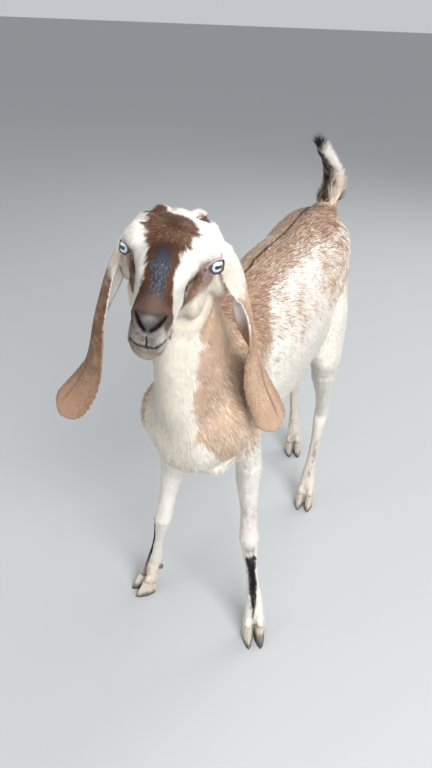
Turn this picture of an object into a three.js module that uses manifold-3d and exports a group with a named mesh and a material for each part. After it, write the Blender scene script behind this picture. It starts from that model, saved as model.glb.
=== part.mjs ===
// A lop-eared dairy goat standing still, head raised and turned to its left, tail up.
// Millimetres, +Z up. The goat faces -Y and its left side is +X. The floor is z = 0, and the origin
// is on the floor under the middle of the animal. Sizes and places are given from the middle of the trunk.
import * as THREE from "three";
import { mergeVertices } from "three/addons/utils/BufferGeometryUtils.js";
import Module from "manifold-3d";

const wasm = await Module();
wasm.setup();

// Driving sizes
const cutGap = 0.5; // width of the thin cuts between neighbouring nodes
const eyeRadius = 13.5;
const socketGap = 0.4; // room round each eyeball
const hoofSole = 46; // length of each claw's sole
const earRoot = 61; // how far from the middle of the head the free ear begins
const clawHalfWidth = 9.6;
const clawSpread = 11.2; // from the foot's middle to each claw's middle
const pasternReach = 50; // from the tip of the toe back to the fetlock
const fetlockHeight = 77;
const bodyShift = 17; // sideways, from the middle of the trunk to the middle of the whole animal

// The head's own frame: s to its left, u towards the muzzle, w up out of the forehead
const headPlace = new THREE.Vector3(7, -305, 787); // midway between the eyes
const headTurn = { yaw: 20.9, nose_down: 4.3, roll: 7.8 }; // degrees, turned to its own left

const V = (x, y, z) => new THREE.Vector3(x, y, z);
const rad = THREE.MathUtils.degToRad;

// ---- solids from closed surfaces -----------------------------------------------------------------

// A three.js geometry as a manifold-3d solid.
function solid(geometry) {
  const bare = geometry.clone();
  for (const name of Object.keys(bare.attributes)) {
    if (name !== "position") bare.deleteAttribute(name);
  }
  const merged = mergeVertices(bare, 1e-4);
  return new wasm.Manifold(
    new wasm.Mesh({
      numProp: 3,
      vertProperties: Float32Array.from(merged.attributes.position.array),
      triVerts: Uint32Array.from(merged.index.array),
    }),
  );
}

// A closed surface through rings of points, all of one length, with a fan over each end.
function skinned(rings) {
  const points = rings.flat();
  const n = rings[0].length;
  const index = [];
  for (let r = 0; r + 1 < rings.length; r++) {
    for (let i = 0; i < n; i++) {
      const a = r * n + i;
      const b = r * n + ((i + 1) % n);
      index.push(a, b, b + n, a, b + n, a + n);
    }
  }
  const fan = (ring, turned) => {
    const middle = ring.reduce((sum, p) => sum.add(p), V(0, 0, 0)).divideScalar(n);
    points.push(middle);
    const first = turned ? 0 : (rings.length - 1) * n;
    for (let i = 0; i < n; i++) {
      const a = first + i;
      const b = first + ((i + 1) % n);
      index.push(...(turned ? [b, a, points.length - 1] : [a, b, points.length - 1]));
    }
  };
  fan(rings[0], true);
  fan(rings.at(-1), false);
  const geometry = new THREE.BufferGeometry().setFromPoints(points);
  geometry.setIndex(index);
  const made = solid(geometry);
  return made.volume() < 0 ? solid(flipped(geometry)) : made;
}

function flipped(geometry) {
  const turned = geometry.clone();
  const index = Array.from(turned.index.array);
  for (let i = 0; i < index.length; i += 3) [index[i + 1], index[i + 2]] = [index[i + 2], index[i + 1]];
  turned.setIndex(index);
  return turned;
}

// A form round a spine, with a ring at each station. A station is {at, side, up, down, round, roundDown}: half its
// width, how far it reaches to either side of the spine across that, and how square each half of its section
// is (2 is an ellipse).
function form(stations, { left = V(1, 0, 0), segments }) {
  const spine = new THREE.CatmullRomCurve3(stations.map((s) => s.at), false, "catmullrom", 0.5);
  const rings = stations.map(({ at, side, up, down, round, roundDown }, k) => {
    const along = spine.getTangent(k / (stations.length - 1));
    const across = left.clone().addScaledVector(along, -left.dot(along)).normalize();
    const over = across.clone().cross(along);
    return Array.from({ length: segments }, (_, i) => {
      const angle = (2 * Math.PI * i) / segments;
      const [c, s] = [Math.cos(angle), Math.sin(angle)];
      const power = 2 / (s > 0 ? round : roundDown);
      const x = Math.sign(c) * Math.abs(c) ** power * side;
      const y = Math.sign(s) * Math.abs(s) ** power * (s > 0 ? up : down);
      return at.clone().addScaledVector(across, x).addScaledVector(over, y);
    });
  });
  return skinned(rings);
}

function station(at, side, up, down, round = 2, roundDown = round) {
  return { at, side, up, down, round, roundDown };
}

// A muscle or bone that shows through the skin, as an ellipsoid.
function bulge(at, radii, turn = [0, 0, 0], detail = 8) {
  const ball = new THREE.SphereGeometry(1, detail, Math.round(detail * 0.7));
  const place = new THREE.Matrix4().compose(
    at,
    new THREE.Quaternion().setFromEuler(new THREE.Euler(...turn.map(rad))),
    V(...radii),
  );
  return solid(ball.applyMatrix4(place));
}

const joined = (solids) => solids.reduce((a, b) => a.add(b));

// ---- trunk, neck and tail --------------------------------------------------------------------------

// One section of the trunk: how far back, its top and bottom, its half width, and how far up it is widest.
const trunkAt = (y, top, bottom, side, widest = 0.45) => {
  const level = bottom + (top - bottom) * widest;
  return station(V(0, y, level), side, top - level, level - bottom, 1.75, 2.15);
};

function trunk() {
  const barrel = form(
    [
      trunkAt(-294, 545, 478, 28, 0.5),
      trunkAt(-282, 575, 452, 50, 0.48),
      trunkAt(-255, 606, 426, 66, 0.45),
      trunkAt(-215, 638, 405, 76, 0.43),
      trunkAt(-170, 662, 392, 79, 0.43),
      trunkAt(-115, 682, 384, 82, 0.44),
      trunkAt(-45, 688, 380, 87, 0.46),
      trunkAt(35, 692, 386, 92, 0.48),
      trunkAt(105, 696, 400, 94, 0.48),
      trunkAt(165, 699, 420, 91, 0.53),
      trunkAt(220, 701, 446, 86, 0.6),
      trunkAt(268, 697, 480, 82, 0.6),
      trunkAt(304, 682, 518, 73, 0.55),
      trunkAt(328, 645, 560, 44, 0.5),
    ],
    { segments: 18 },
  );
  const sides = [-1, 1].flatMap((s) => [
    bulge(V(s * 50, -168, 565), [32, 58, 100], [-20, 0, s * 4]), // shoulder blade and its muscle
    bulge(V(s * 59, -231, 511), [29, 43, 53], [-16, 0, 0]), // point of the shoulder
    bulge(V(s * 32, -228, 448), [32, 42, 38]), // breast muscle
    bulge(V(s * 54, 206, 628), [22, 44, 32], [0, 0, s * -14]), // hook bone
    bulge(V(s * 44, 302, 632), [22, 32, 28]), // pin bone
  ]);
  return joined([barrel, ...sides]);
}

function neck() {
  const stations = [
    station(V(0, -165, 490), 64, 118, 70),
    station(V(0, -195, 545), 62, 112, 78),
    station(V(0, -222, 600), 53, 98, 74),
    station(V(-3, -240, 650), 45, 78, 62),
    station(V(-7, -250, 700), 41, 56, 50),
    station(V(-10, -255, 745), 38, 42, 43),
    station(V(-12, -258, 788), 24, 22, 28),
  ];
  return form(stations, { segments: 15 });
}

function tail() {
  const stations = [
    station(V(2, 296, 655), 26, 18, 18),
    station(V(6, 318, 684), 26, 13, 15),
    station(V(9, 328, 712), 24, 11, 14),
    station(V(7, 322, 742), 22, 10, 13),
    station(V(0, 306, 768), 18, 9, 12),
    station(V(-10, 289, 790), 14, 8, 10),
    station(V(-18, 279, 805), 6, 4, 5),
  ];
  return form(stations, { segments: 12 });
}

// ---- legs --------------------------------------------------------------------------------------------

// Each foot: where its toes touch the floor, and how far outwards they point.
const feet = {
  fore_left: { toe: [117, -210], out: 29, side: 1 },
  fore_right: { toe: [-153, -206], out: 36, side: -1 },
  hind_left: { toe: [79, 171], out: 9, side: 1 },
  hind_right: { toe: [-6, 351], out: -24, side: -1 },
};

// The joints above each foot.
const joints = {
  fore_left: { knee: V(68, -156, 228), elbow: V(58, -160, 396), top: V(52, -170, 478) },
  fore_right: { knee: V(-91, -180, 222), elbow: V(-64, -172, 394), top: V(-52, -176, 478) },
  hind_left: { hock: V(72, 254, 238), stifle: V(80, 176, 418), hip: V(52, 240, 590) },
  hind_right: { hock: V(-52, 412, 236), stifle: V(-74, 240, 415), hip: V(-52, 262, 590) },
};

// A foot's own directions: forward over the toes, and across to the animal's left.
function footFrame({ toe, out, side }) {
  const turn = rad(out) * side;
  const forward = V(Math.sin(turn), -Math.cos(turn), 0);
  const left = V(Math.cos(turn), Math.sin(turn), 0);
  const place = (ahead, across, height) =>
    V(toe[0], toe[1], height).addScaledVector(forward, ahead).addScaledVector(left, across);
  return { left, place };
}

// A level of a leg: its half width, and how far it reaches in front of and behind the bone.
const limb = (at, side, front, back) => station(at, side, back, front);

// From the fetlock down to where the leg forks into its toes.
const pastern = (place) => [
  limb(place(-pasternReach, 0, fetlockHeight), 18, 15.5, 19),
  limb(place(-pasternReach + 6, 0, fetlockHeight - 16), 17.5, 14, 16.5),
  limb(place(-pasternReach + 10, 0, fetlockHeight - 29), 13, 11, 12),
];

function foreLeg(name) {
  const { knee, elbow, top } = joints[name];
  const { place, left } = footFrame(feet[name]);
  const fetlock = place(-pasternReach, 0, fetlockHeight);
  const arm = (t) => elbow.clone().lerp(knee, t);
  const cannon = (t) => knee.clone().lerp(fetlock, t);
  const stations = [
    limb(top, 26, 50, 46),
    limb(elbow, 25, 34, 38),
    limb(arm(0.3), 20.5, 24, 28),
    limb(arm(0.62), 16.5, 18, 19.5),
    limb(arm(0.86), 18.5, 18.5, 18),
    limb(knee, 20.5, 20.5, 18),
    limb(cannon(0.2), 16.5, 15.5, 16),
    limb(cannon(0.42), 12.8, 12.5, 13),
    limb(cannon(0.7), 12.8, 12.5, 13.5),
    limb(cannon(0.9), 16.5, 14.5, 17),
    ...pastern(place),
  ];
  return joined([form(stations, { left, segments: 10 }), ...toes(feet[name])]);
}

function hindLeg(name) {
  const { hock, stifle, hip } = joints[name];
  const { place, left } = footFrame(feet[name]);
  const fetlock = place(-pasternReach, 0, fetlockHeight);
  const shank = (t) => stifle.clone().lerp(hock, t);
  const cannon = (t) => hock.clone().lerp(fetlock, t);
  const stations = [
    limb(V(hip.x * 0.8, hip.y, hip.z + 52), 22, 40, 32),
    limb(hip, 33, 64, 54),
    limb(hip.clone().lerp(stifle, 0.5), 41, 80, 74),
    limb(stifle, 34, 48, 72),
    limb(shank(0.28), 25, 33, 48),
    limb(shank(0.56), 18, 22, 29),
    limb(shank(0.84), 15.5, 15.5, 23),
    limb(hock, 18.5, 17, 25),
    limb(cannon(0.2), 16, 15.5, 17),
    limb(cannon(0.42), 12.6, 12.5, 13.5),
    limb(cannon(0.72), 12.6, 12.5, 13.5),
    limb(cannon(0.9), 16, 14.5, 17),
    ...pastern(place),
  ];
  return joined([form(stations, { left, segments: 11 }), ...toes(feet[name])]);
}

// A level ring round one claw, or tilted so that it falls towards the heel.
function clawRing(foot, side, { middle, height, fall = 0, long, wide, narrowToe = 0, spread = clawSpread }) {
  const { place } = footFrame(foot);
  const corners = 8;
  return Array.from({ length: corners }, (_, i) => {
    const angle = (2 * Math.PI * i) / corners;
    const ahead = long * Math.sin(angle);
    const across = wide * Math.cos(angle) * (1 - narrowToe * Math.sin(angle));
    return place(middle + ahead, side * spread + across, height + fall * ahead);
  });
}

const sole = { middle: -hoofSole / 2, height: 0, long: hoofSole / 2, wide: 9.8, narrowToe: 0.35 };
const coronet = { middle: -35, height: 27, fall: 0.4, long: 16.5, wide: clawHalfWidth, narrowToe: 0.1 };

// The two toes of a foot from the fetlock down to the coronet.
const toes = (foot) =>
  [-1, 1].map((side) =>
    skinned([
      clawRing(foot, side, { middle: -47, height: 70, long: 13, wide: 10, spread: clawSpread * 0.75 }),
      clawRing(foot, side, { middle: -43, height: 55, long: 13, wide: 9.6, spread: clawSpread * 0.9 }),
      clawRing(foot, side, { middle: -38, height: 41, fall: 0.2, long: 15, wide: 9.8 }),
      clawRing(foot, side, { ...coronet, height: coronet.height + cutGap }),
    ]),
  );

// One claw of horn, flat on the floor.
const claw = (foot, side) =>
  skinned([
    clawRing(foot, side, coronet),
    clawRing(foot, side, { middle: -29, height: 13, fall: 0.2, long: 19.5, wide: 9.9, narrowToe: 0.25 }),
    clawRing(foot, side, sole),
  ]);

// One dewclaw behind the fetlock; grown gives the socket that it sits in.
function dewclaw(foot, side, grown = 0) {
  const at = footFrame(foot).place(-pasternReach - 8, side * 10, fetlockHeight - 17);
  const radii = [5.5, 6, 9].map((radius) => radius + grown);
  return bulge(at, radii, [28, 0, foot.out * foot.side], 6);
}

// ---- head --------------------------------------------------------------------------------------------

// The head is drawn in its own frame and then put in its place.
const H = (s, u, w) => V(s, -u, w);
const headMatrix = new THREE.Matrix4().compose(
  headPlace,
  new THREE.Quaternion().setFromEuler(
    new THREE.Euler(rad(headTurn.nose_down), rad(headTurn.roll), rad(headTurn.yaw), "ZXY"),
  ),
  V(1, 1, 1),
);
const onHead = (made) => made.transform(headMatrix.elements);

// One section of the head: how far forward, its top and bottom, its half width, and how far up it is widest.
const headAt = (u, top, bottom, side, widest = 0.6, round = 2.2, roundDown = 1.7) => {
  const level = bottom + (top - bottom) * widest;
  return station(H(0, u, level), side, top - level, level - bottom, round, roundDown);
};

function skull() {
  const stations = [
    headAt(131, -30, -60, 13, 0.5, 2.3, 2.2),
    headAt(126, -20, -68, 18.5, 0.5, 2.4, 2.1),
    headAt(113, -10, -74, 21, 0.5, 2.3, 1.9),
    headAt(96, 2, -73, 21.5, 0.55),
    headAt(75, 13, -70, 25, 0.58),
    headAt(50, 23, -77, 31, 0.6),
    headAt(25, 27, -88, 40, 0.62),
    headAt(0, 28, -97, 50, 0.66),
    headAt(-20, 29, -97, 56, 0.68),
    headAt(-45, 26, -86, 56, 0.66),
    headAt(-66, 16, -64, 44, 0.6),
    headAt(-80, 0, -44, 25, 0.5),
  ];
  const sides = [-1, 1].flatMap((s) => [
    bulge(H(s * 41, -4, -5), [18, 25, 20]), // rim of the orbit
    bulge(H(s * 34, 6, 9), [18, 30, 15], [0, s * 20, s * -8]), // brow
    bulge(H(s * 20, -50, 20), [13, 13, 12], [0, 0, 0], 6), // knob where a horn would grow
    bulge(H(s * 32, -12, -56), [15, 36, 34]), // jaw muscle
    bulge(H(s * 29, 34, -28), [9, 36, 10], [0, 0, s * -12], 6), // crest of the cheek
    bulge(H(s * 14, 109, -21), [8, 15, 11], [0, 0, 0], 6), // wing of the nostril
    bulge(H(s * 10, 112, -47), [13, 19, 12], [0, 0, 0], 6), // upper lip
  ]);
  const chin = bulge(H(0, 104, -64), [16, 20, 10], [0, 0, 0], 6);
  return joined([form(stations, { segments: 18 }), ...sides, chin]);
}

const eyeAt = (side) => H(side * 40.5, 2, -8);
const eyeball = (side, grown = 0) =>
  solid(new THREE.SphereGeometry(eyeRadius + grown, 12, 8).rotateZ(Math.PI / 2).translate(...eyeAt(side)));
// What the lids leave open in front of the eyeball.
const lidOpening = (side) => bulge(H(side * 54, 4, -8), [8, 13, 8], [0, 0, 0], 10);

// An ear hangs as a trough, closed towards the outside. Each level has its middle, half its width, how deep
// the trough is, and which way its outer face looks.
const earLevel = (s, u, w, half, depth, out) => ({ at: H(s, u, w), half, depth, out: H(...out) });
const ears = {
  left: [
    earLevel(40, -36, -4, 13, 12, [1, -0.4, 0.5]),
    earLevel(58, -38, -12, 15, 17, [1, -0.4, 0.5]),
    earLevel(72, -36, -30, 18, 22, [1, -0.4, 0.2]),
    earLevel(82, -34, -54, 20, 22, [1, -0.35, 0]),
    earLevel(92, -31, -82, 21, 20, [1, -0.2, 0]),
    earLevel(106, -29, -116, 21, 17, [1, 0.1, 0]),
    earLevel(117, -27, -148, 21, 13, [1, 0.4, 0]),
    earLevel(130, -25, -182, 23, 9, [0.8, 0.7, 0]),
    earLevel(147, -22, -212, 25, 5, [0.6, 0.8, 0]),
    earLevel(162, -19, -236, 22, 3, [0.5, 0.85, 0]),
    earLevel(169, -17, -248, 11, 1.5, [0.5, 0.85, 0]),
  ],
  right: [
    earLevel(-38, -36, -6, 13, 12, [-1, -0.4, 0.5]),
    earLevel(-51, -36, -18, 15, 16, [-1, -0.4, 0.5]),
    earLevel(-60, -33, -39, 18, 20, [-1, -0.35, 0.2]),
    earLevel(-67, -29, -65, 20, 21, [-1, -0.2, 0]),
    earLevel(-73, -25, -94, 21, 19, [-1, 0, 0]),
    earLevel(-79, -21, -126, 21, 16, [-1, 0.2, 0]),
    earLevel(-82, -16, -160, 22, 13, [-1, 0.5, 0]),
    earLevel(-87, -10, -196, 24, 9, [-0.8, 0.7, 0]),
    earLevel(-99, -5, -228, 26, 5, [-0.6, 0.8, 0]),
    earLevel(-113, -1, -252, 24, 3, [-0.5, 0.85, 0]),
    earLevel(-121, 1, -264, 12, 1.5, [-0.5, 0.85, 0]),
  ],
};
const earThickness = 6.5;

function ear(levels) {
  const path = new THREE.CatmullRomCurve3(levels.map((level) => level.at), false, "catmullrom", 0.5);
  const last = levels.length - 1;
  const rings = levels.map(({ at, half, depth, out }, k) => {
    const along = path.getTangent(k / last);
    const outwards = out.clone().addScaledVector(along, -out.dot(along)).normalize();
    const across = along.clone().cross(outwards);
    const point = (v, face) => {
      const thick = (face * earThickness * (1 - 0.6 * v ** 4)) / 2;
      const narrowed = face < 0 ? half - earThickness / 2 : half;
      return at
        .clone()
        .addScaledVector(across, narrowed * v)
        .addScaledVector(outwards, depth * (0.5 - v * v) + thick);
    };
    const outer = [-1, -0.7, -0.35, 0, 0.35, 0.7, 1].map((v) => point(v, 1));
    const inner = [0.9, 0.45, 0, -0.45, -0.9].map((v) => point(v, -1));
    return [...outer, ...inner];
  });
  return skinned(rings);
}

// The part of the head that keeps the root of each ear; grown makes it larger all round.
const rootBlock = (grown) => {
  const size = [2 * earRoot, 400, 400].map((length) => length + 2 * grown);
  return solid(new THREE.BoxGeometry(...size).translate(...H(0, 0, 160)));
};

// The head with its sockets and lids open, and a stub of each ear.
function headWhole() {
  const sockets = [-1, 1].map((side) => eyeball(side, socketGap).add(lidOpening(side)));
  const stubs = Object.values(ears).map((levels) => ear(levels).intersect(rootBlock(0)));
  return joined([skull(), ...stubs]).subtract(joined(sockets));
}

// The free part of an ear, beyond its root.
const freeEar = (side) => ear(ears[side]).subtract(rootBlock(cutGap));

// ---- parting -----------------------------------------------------------------------------------------

// Flesh is modelled whole. Each region then takes its own node out of what is left. The rest loses the same
// region moved a little way back across the cut, which leaves a thin gap.
function part(whole, region, across) {
  const gap = across.clone().normalize().multiplyScalar(-cutGap);
  return [whole.intersect(region), whole.subtract(region.translate(gap.toArray()))];
}

// A block whose back face is a cut: through a point, square to the direction of what it takes.
function beyond(point, direction, size) {
  const away = direction.clone().normalize();
  const turn = new THREE.Quaternion().setFromUnitVectors(V(0, 0, 1), away);
  const box = new THREE.BoxGeometry(...size).translate(0, 0, size[2] / 2);
  return solid(box.applyMatrix4(new THREE.Matrix4().compose(point, turn, V(1, 1, 1))));
}

// A prism along Y through corners given as [x, z], from one y to another.
function prism(corners, from, to) {
  const outline = new THREE.Shape(corners.map(([x, z]) => new THREE.Vector2(x, z)));
  const bar = new THREE.ExtrudeGeometry(outline, { depth: to - from, bevelEnabled: false });
  return solid(bar.rotateX(Math.PI / 2).translate(0, to, 0));
}

// Level cuts through a leg, from the top down, leaving a gap at each height.
function slices(leg, heights) {
  const reach = 2000;
  const pieces = [];
  let rest = leg;
  for (const height of heights) {
    const top = V(0, 0, height);
    const [upper, lower] = part(rest, beyond(top, V(0, 0, 1), [reach, reach, reach]), V(0, 0, 1));
    pieces.push(upper);
    rest = lower;
  }
  return [...pieces, rest];
}

// What each leg takes from the body: its outline from the front, from the inner edge of the leg outwards, and
// the lengthwise stretch that it stands in. Its nodes are parted by level cuts.
const legParts = {
  fore: {
    outline: (inner) => [[inner, -20], [200, -20], [200, 424], [112, 424], [28, 380], [inner, 300]],
    stretch: [-290, -70],
    names: ["forearm", "fore_cannon", "fore_foot"],
    cuts: [204, 94],
  },
  hind: {
    outline: (inner) => [[inner, -20], [200, -20], [200, 644], [87, 644], [20, 420], [inner, 330]],
    stretch: [116, 520],
    names: ["thigh", "shank", "hind_cannon", "hind_foot"],
    cuts: [388, 208, 94],
  },
};
const innerEdge = { fore_left: 24, fore_right: 24, hind_left: 24, hind_right: -30 };

const headDirection = (s, u, w) => H(s, u, w).transformDirection(headMatrix);

// A prism across the head through corners given as [u, w].
function headPrism(corners) {
  const outline = new THREE.Shape(corners.map(([u, w]) => new THREE.Vector2(u, w)));
  const bar = new THREE.ExtrudeGeometry(outline, { depth: 200, bevelEnabled: false }).translate(0, 0, -100);
  const upright = new THREE.Matrix4().makeBasis(H(0, 1, 0), H(0, 0, 1), H(-1, 0, 0));
  return onHead(solid(bar.applyMatrix4(upright)));
}

// Along the mouth and up behind its corners.
const jawRegion = () => headPrism([[145, -51], [84, -53], [30, -68], [10, -82], [10, -115], [145, -115]]);
// Behind the poll, down the throat and forward under the jaw.
const headRegion = () => headPrism([[-92, 60], [-78, 8], [-54, -66], [-8, -103], [150, -125], [150, 60]]);

function fleshNodes() {
  const nodes = {};
  const legs = Object.keys(feet).map((name) => (name.startsWith("fore") ? foreLeg(name) : hindLeg(name)));
  let rest = joined([trunk(), neck(), tail(), onHead(headWhole()), ...legs]);
  const take = (name, region, across) => {
    [nodes[name], rest] = part(rest, region, across);
  };
  take("lower_jaw", jawRegion(), headDirection(0, 0, -1));
  take("head", headRegion(), headDirection(0, 0.6, 0.8));
  take("neck", beyond(V(0, -238, 610), V(0, -0.59, 0.81), [300, 400, 300]), V(0, -0.59, 0.81));
  take("tail", beyond(V(4, 312, 694), V(0, 0.35, 0.94), [110, 200, 200]), V(0, 0.35, 0.94));
  for (const [name, foot] of Object.entries(feet)) {
    const [kind, side] = name.split("_");
    const { outline, stretch, names, cuts } = legParts[kind];
    const corners = outline(innerEdge[name]).map(([x, z]) => [foot.side * x, z]);
    take("leg", prism(corners, ...stretch), V(foot.side, 0, -1));
    const dewclaws = joined([-1, 1].map((inside) => dewclaw(foot, inside, socketGap)));
    slices(nodes.leg.subtract(dewclaws), cuts).forEach((piece, k) => (nodes[`${names[k]}_${side}`] = piece));
    delete nodes.leg;
  }
  nodes.trunk = rest;
  nodes.ear_left = onHead(freeEar("left"));
  nodes.ear_right = onHead(freeEar("right"));
  return nodes;
}

// ---- the model ---------------------------------------------------------------------------------------

const coatColours = {
  trunk: 0xc9a183,
  neck: 0xc39a7c,
  head: 0xe6dbd0,
  lower_jaw: 0xcfc6bf,
  tail: 0x7a5a44,
  ear: 0xb58a6d,
  thigh: 0xdccab9,
  leg: 0xe8e0d6,
};
const fur = (colour) => new THREE.MeshStandardMaterial({ color: colour, roughness: 0.85, metalness: 0 });
const horn = new THREE.MeshStandardMaterial({ color: 0x55504b, roughness: 0.5, metalness: 0 });
const eye = new THREE.MeshStandardMaterial({ color: 0xb9cdd6, roughness: 0.08, metalness: 0 });

// The colour of a node of flesh, by what its name begins with.
function coatOf(name) {
  const key = Object.keys(coatColours).find((start) => name.startsWith(start)) ?? "leg";
  return fur(coatColours[key]);
}

// A solid as a named mesh with flat faces.
function mesh(name, made, material) {
  const { vertProperties, triVerts } = made.getMesh();
  const geometry = new THREE.BufferGeometry();
  geometry.setAttribute("position", new THREE.BufferAttribute(vertProperties, 3));
  geometry.setIndex(new THREE.BufferAttribute(triVerts, 1));
  const shown = new THREE.Mesh(geometry, material);
  shown.name = name;
  return shown;
}

const goat = new THREE.Group();
goat.name = "goat";
goat.position.x = bodyShift;
for (const [name, made] of Object.entries(fleshNodes())) {
  goat.add(mesh(name, made, coatOf(name)));
}
for (const [word, side] of [["left", 1], ["right", -1]]) {
  goat.add(mesh(`eye_${word}`, onHead(eyeball(side)), eye));
}
for (const [name, foot] of Object.entries(feet)) {
  for (const [word, side] of [["inner", -foot.side], ["outer", foot.side]]) {
    goat.add(mesh(`${name}_claw_${word}`, claw(foot, side), horn));
    goat.add(mesh(`${name}_dewclaw_${word}`, dewclaw(foot, side), horn));
  }
}

export default goat;
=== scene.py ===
import math

import bmesh
import bpy
import numpy as np
from mathutils import Matrix, Vector
from mathutils.bvhtree import BVHTree


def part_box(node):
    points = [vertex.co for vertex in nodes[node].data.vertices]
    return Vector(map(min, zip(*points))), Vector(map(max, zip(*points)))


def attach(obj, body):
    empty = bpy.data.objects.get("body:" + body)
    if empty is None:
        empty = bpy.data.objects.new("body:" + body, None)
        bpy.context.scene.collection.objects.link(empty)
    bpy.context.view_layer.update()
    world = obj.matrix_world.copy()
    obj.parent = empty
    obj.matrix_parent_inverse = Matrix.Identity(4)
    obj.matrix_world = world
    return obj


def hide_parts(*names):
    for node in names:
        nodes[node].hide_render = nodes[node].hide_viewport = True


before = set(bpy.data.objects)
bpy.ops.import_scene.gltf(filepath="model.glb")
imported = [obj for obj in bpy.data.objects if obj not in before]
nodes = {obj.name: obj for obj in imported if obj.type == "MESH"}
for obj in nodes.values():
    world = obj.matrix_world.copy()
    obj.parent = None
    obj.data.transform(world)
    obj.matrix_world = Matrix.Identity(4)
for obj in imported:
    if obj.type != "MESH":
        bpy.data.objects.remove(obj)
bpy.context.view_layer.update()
mm = 0.001


headTurn = {"yaw": 20.9, "noseDown": 4.3, "roll": 7.8}  # degrees, turned to its left
eyeInHead = {"forward": 2, "up": -8}  # millimetres, from the head's own origin
feet = {  # where the toes touch the floor, in millimetres, and how far they point outwards, in degrees
    "fore_left": {"toe": (134, -210), "out": 29, "side": 1, "knee": (85, -156, 228)},
    "fore_right": {"toe": (-136, -206), "out": 36, "side": -1, "knee": (-74, -180, 222)},
    "hind_left": {"toe": (96, 171), "out": 9, "side": 1, "knee": (89, 254, 238)},
    "hind_right": {"toe": (11, 351), "out": -24, "side": -1, "knee": (-35, 412, 236)},
}
# Down each ear: its middle in the head's millimetres (left, forward, up), half its width, the depth of its
# trough, and which way its outer face looks.
earLevels = {
    "left": [
        ((40, -36, -4), 13, 8, (1, -0.2, 0.6)), ((57, -36, -12), 17, 12, (1, 0.1, 0.5)),
        ((69, -34, -28), 20, 14, (1, 0.35, 0.3)), ((79, -33, -47), 20, 14, (1, 0.15, 0.1)),
        ((87, -32, -66), 20, 13, (1, -0.4, 0)), ((95, -31, -88), 20.5, 13, (1, -0.6, 0)),
        ((106, -29, -116), 21, 12, (1, -0.3, 0)), ((117, -27, -148), 21, 11, (1, 0.3, 0)),
        ((130, -25, -180), 23, 8, (0.8, 0.7, 0)), ((146, -22, -208), 24.5, 5, (0.6, 0.8, 0)),
        ((159, -19, -230), 24, 3, (0.5, 0.85, 0)), ((167, -17, -245), 22, 2, (0.5, 0.85, 0)),
    ],
    "right": [
        ((-38, -36, -6), 13, 10, (-1, -0.4, 0.5)), ((-51, -36, -18), 16, 13, (-1, -0.4, 0.5)),
        ((-60, -33, -39), 19, 15, (-1, -0.35, 0.2)), ((-67, -29, -65), 20, 15, (-1, -0.2, 0)),
        ((-73, -25, -94), 21, 14, (-1, 0, 0)), ((-79, -21, -126), 21, 12, (-1, 0.2, 0)),
        ((-82, -16, -160), 22, 10, (-1, 0.5, 0)), ((-87, -10, -196), 24, 8, (-0.8, 0.7, 0)),
        ((-99, -5, -228), 26, 5, (-0.6, 0.8, 0)), ((-113, -1, -252), 25, 3, (-0.5, 0.85, 0)),
        ((-122.5, 1, -268), 23, 2, (-0.5, 0.85, 0)),
    ],
}
earLines = {side: np.array([level[0] for level in levels], float) for side, levels in earLevels.items()}
earFaces = {side: np.array([level[3] for level in levels], float) for side, levels in earLevels.items()}


def turnAbout(axis, degrees):
    return np.array(Matrix.Rotation(math.radians(degrees), 3, axis))


headBasis = turnAbout("Z", headTurn["yaw"]) @ turnAbout("X", headTurn["noseDown"])
headBasis = headBasis @ turnAbout("Y", headTurn["roll"])
headBasis = headBasis @ np.diag([1, -1, 1])  # columns: to its left, forward to the muzzle, up
eyeMiddles = {side: sum(map(np.array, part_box(f"eye_{side}"))) / 2 for side in ("left", "right")}
betweenEyes = np.array([0, eyeInHead["forward"], eyeInHead["up"]])
headOrigin = sum(eyeMiddles.values()) / 2 - headBasis @ betweenEyes * mm


def toHead(points):
    return (points - headOrigin) @ headBasis / mm


def fromHead(places):
    return headOrigin + np.asarray(places, float) @ headBasis.T * mm


def unit(vectors):
    return vectors / np.maximum(np.linalg.norm(vectors, axis=-1, keepdims=True), 1e-12)


def ramp(value, low, high):
    # Rises smoothly from 0 at low to 1 at high.
    t = np.clip((value - low) / (high - low), 0, 1)
    return t * t * (3 - 2 * t)


def fade(value, low, high):
    return 1 - ramp(value, low, high)


def strands(grain, times, low, high):
    # Picks out single tufts by their grain, as often as times says.
    return ramp(np.sin(grain * times), low, high)


def bump(value, middle, width):
    return np.exp(-(((value - middle) / width) ** 2))


def farFrom(points, place):
    return np.linalg.norm(points - np.array(place), axis=1)


def between(at, steps, rows):
    # Rows of values, read off between their steps.
    return np.stack([np.interp(at, steps, column) for column in np.asarray(rows).T], 1)


def toRows(*columns):
    # Columns, or single values for all rows, side by side.
    return np.stack(np.broadcast_arrays(*columns), 1)


def alongLine(points, line):
    # Each point's distance from a line of straight stretches, and how far along it that is, from 0 to 1.
    best = np.full(len(points), np.inf)
    along = np.zeros(len(points))
    line = np.asarray(line, float)
    for k, (a, b) in enumerate(zip(line, line[1:])):
        t = np.clip((points - a) @ (b - a) / ((b - a) @ (b - a)), 0, 1)
        far = np.linalg.norm(points - a - t[:, None] * (b - a), axis=1)
        nearer = far < best
        best = np.where(nearer, far, best)
        along = np.where(nearer, (k + t) / (len(line) - 1), along)
    return best, along


def readAll(items, key, kind, width):
    found = np.empty(len(items) * width, kind)
    items.foreach_get(key, found)
    return found.reshape(-1, width)


def pointsOf(mesh):
    return readAll(mesh.vertices, "co", np.float32, 3).astype(float)


def setPoints(mesh, points):
    mesh.vertices.foreach_set("co", points.astype(np.float32).ravel())
    mesh.update()


def normalsOf(mesh):
    return readAll(mesh.vertex_normals, "vector", np.float32, 3).astype(float)


def trianglesOf(mesh):
    mesh.calc_loop_triangles()
    return readAll(mesh.loop_triangles, "vertices", np.int32, 3)


def edgesOf(mesh):
    return readAll(mesh.edges, "vertices", np.int32, 2)


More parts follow.
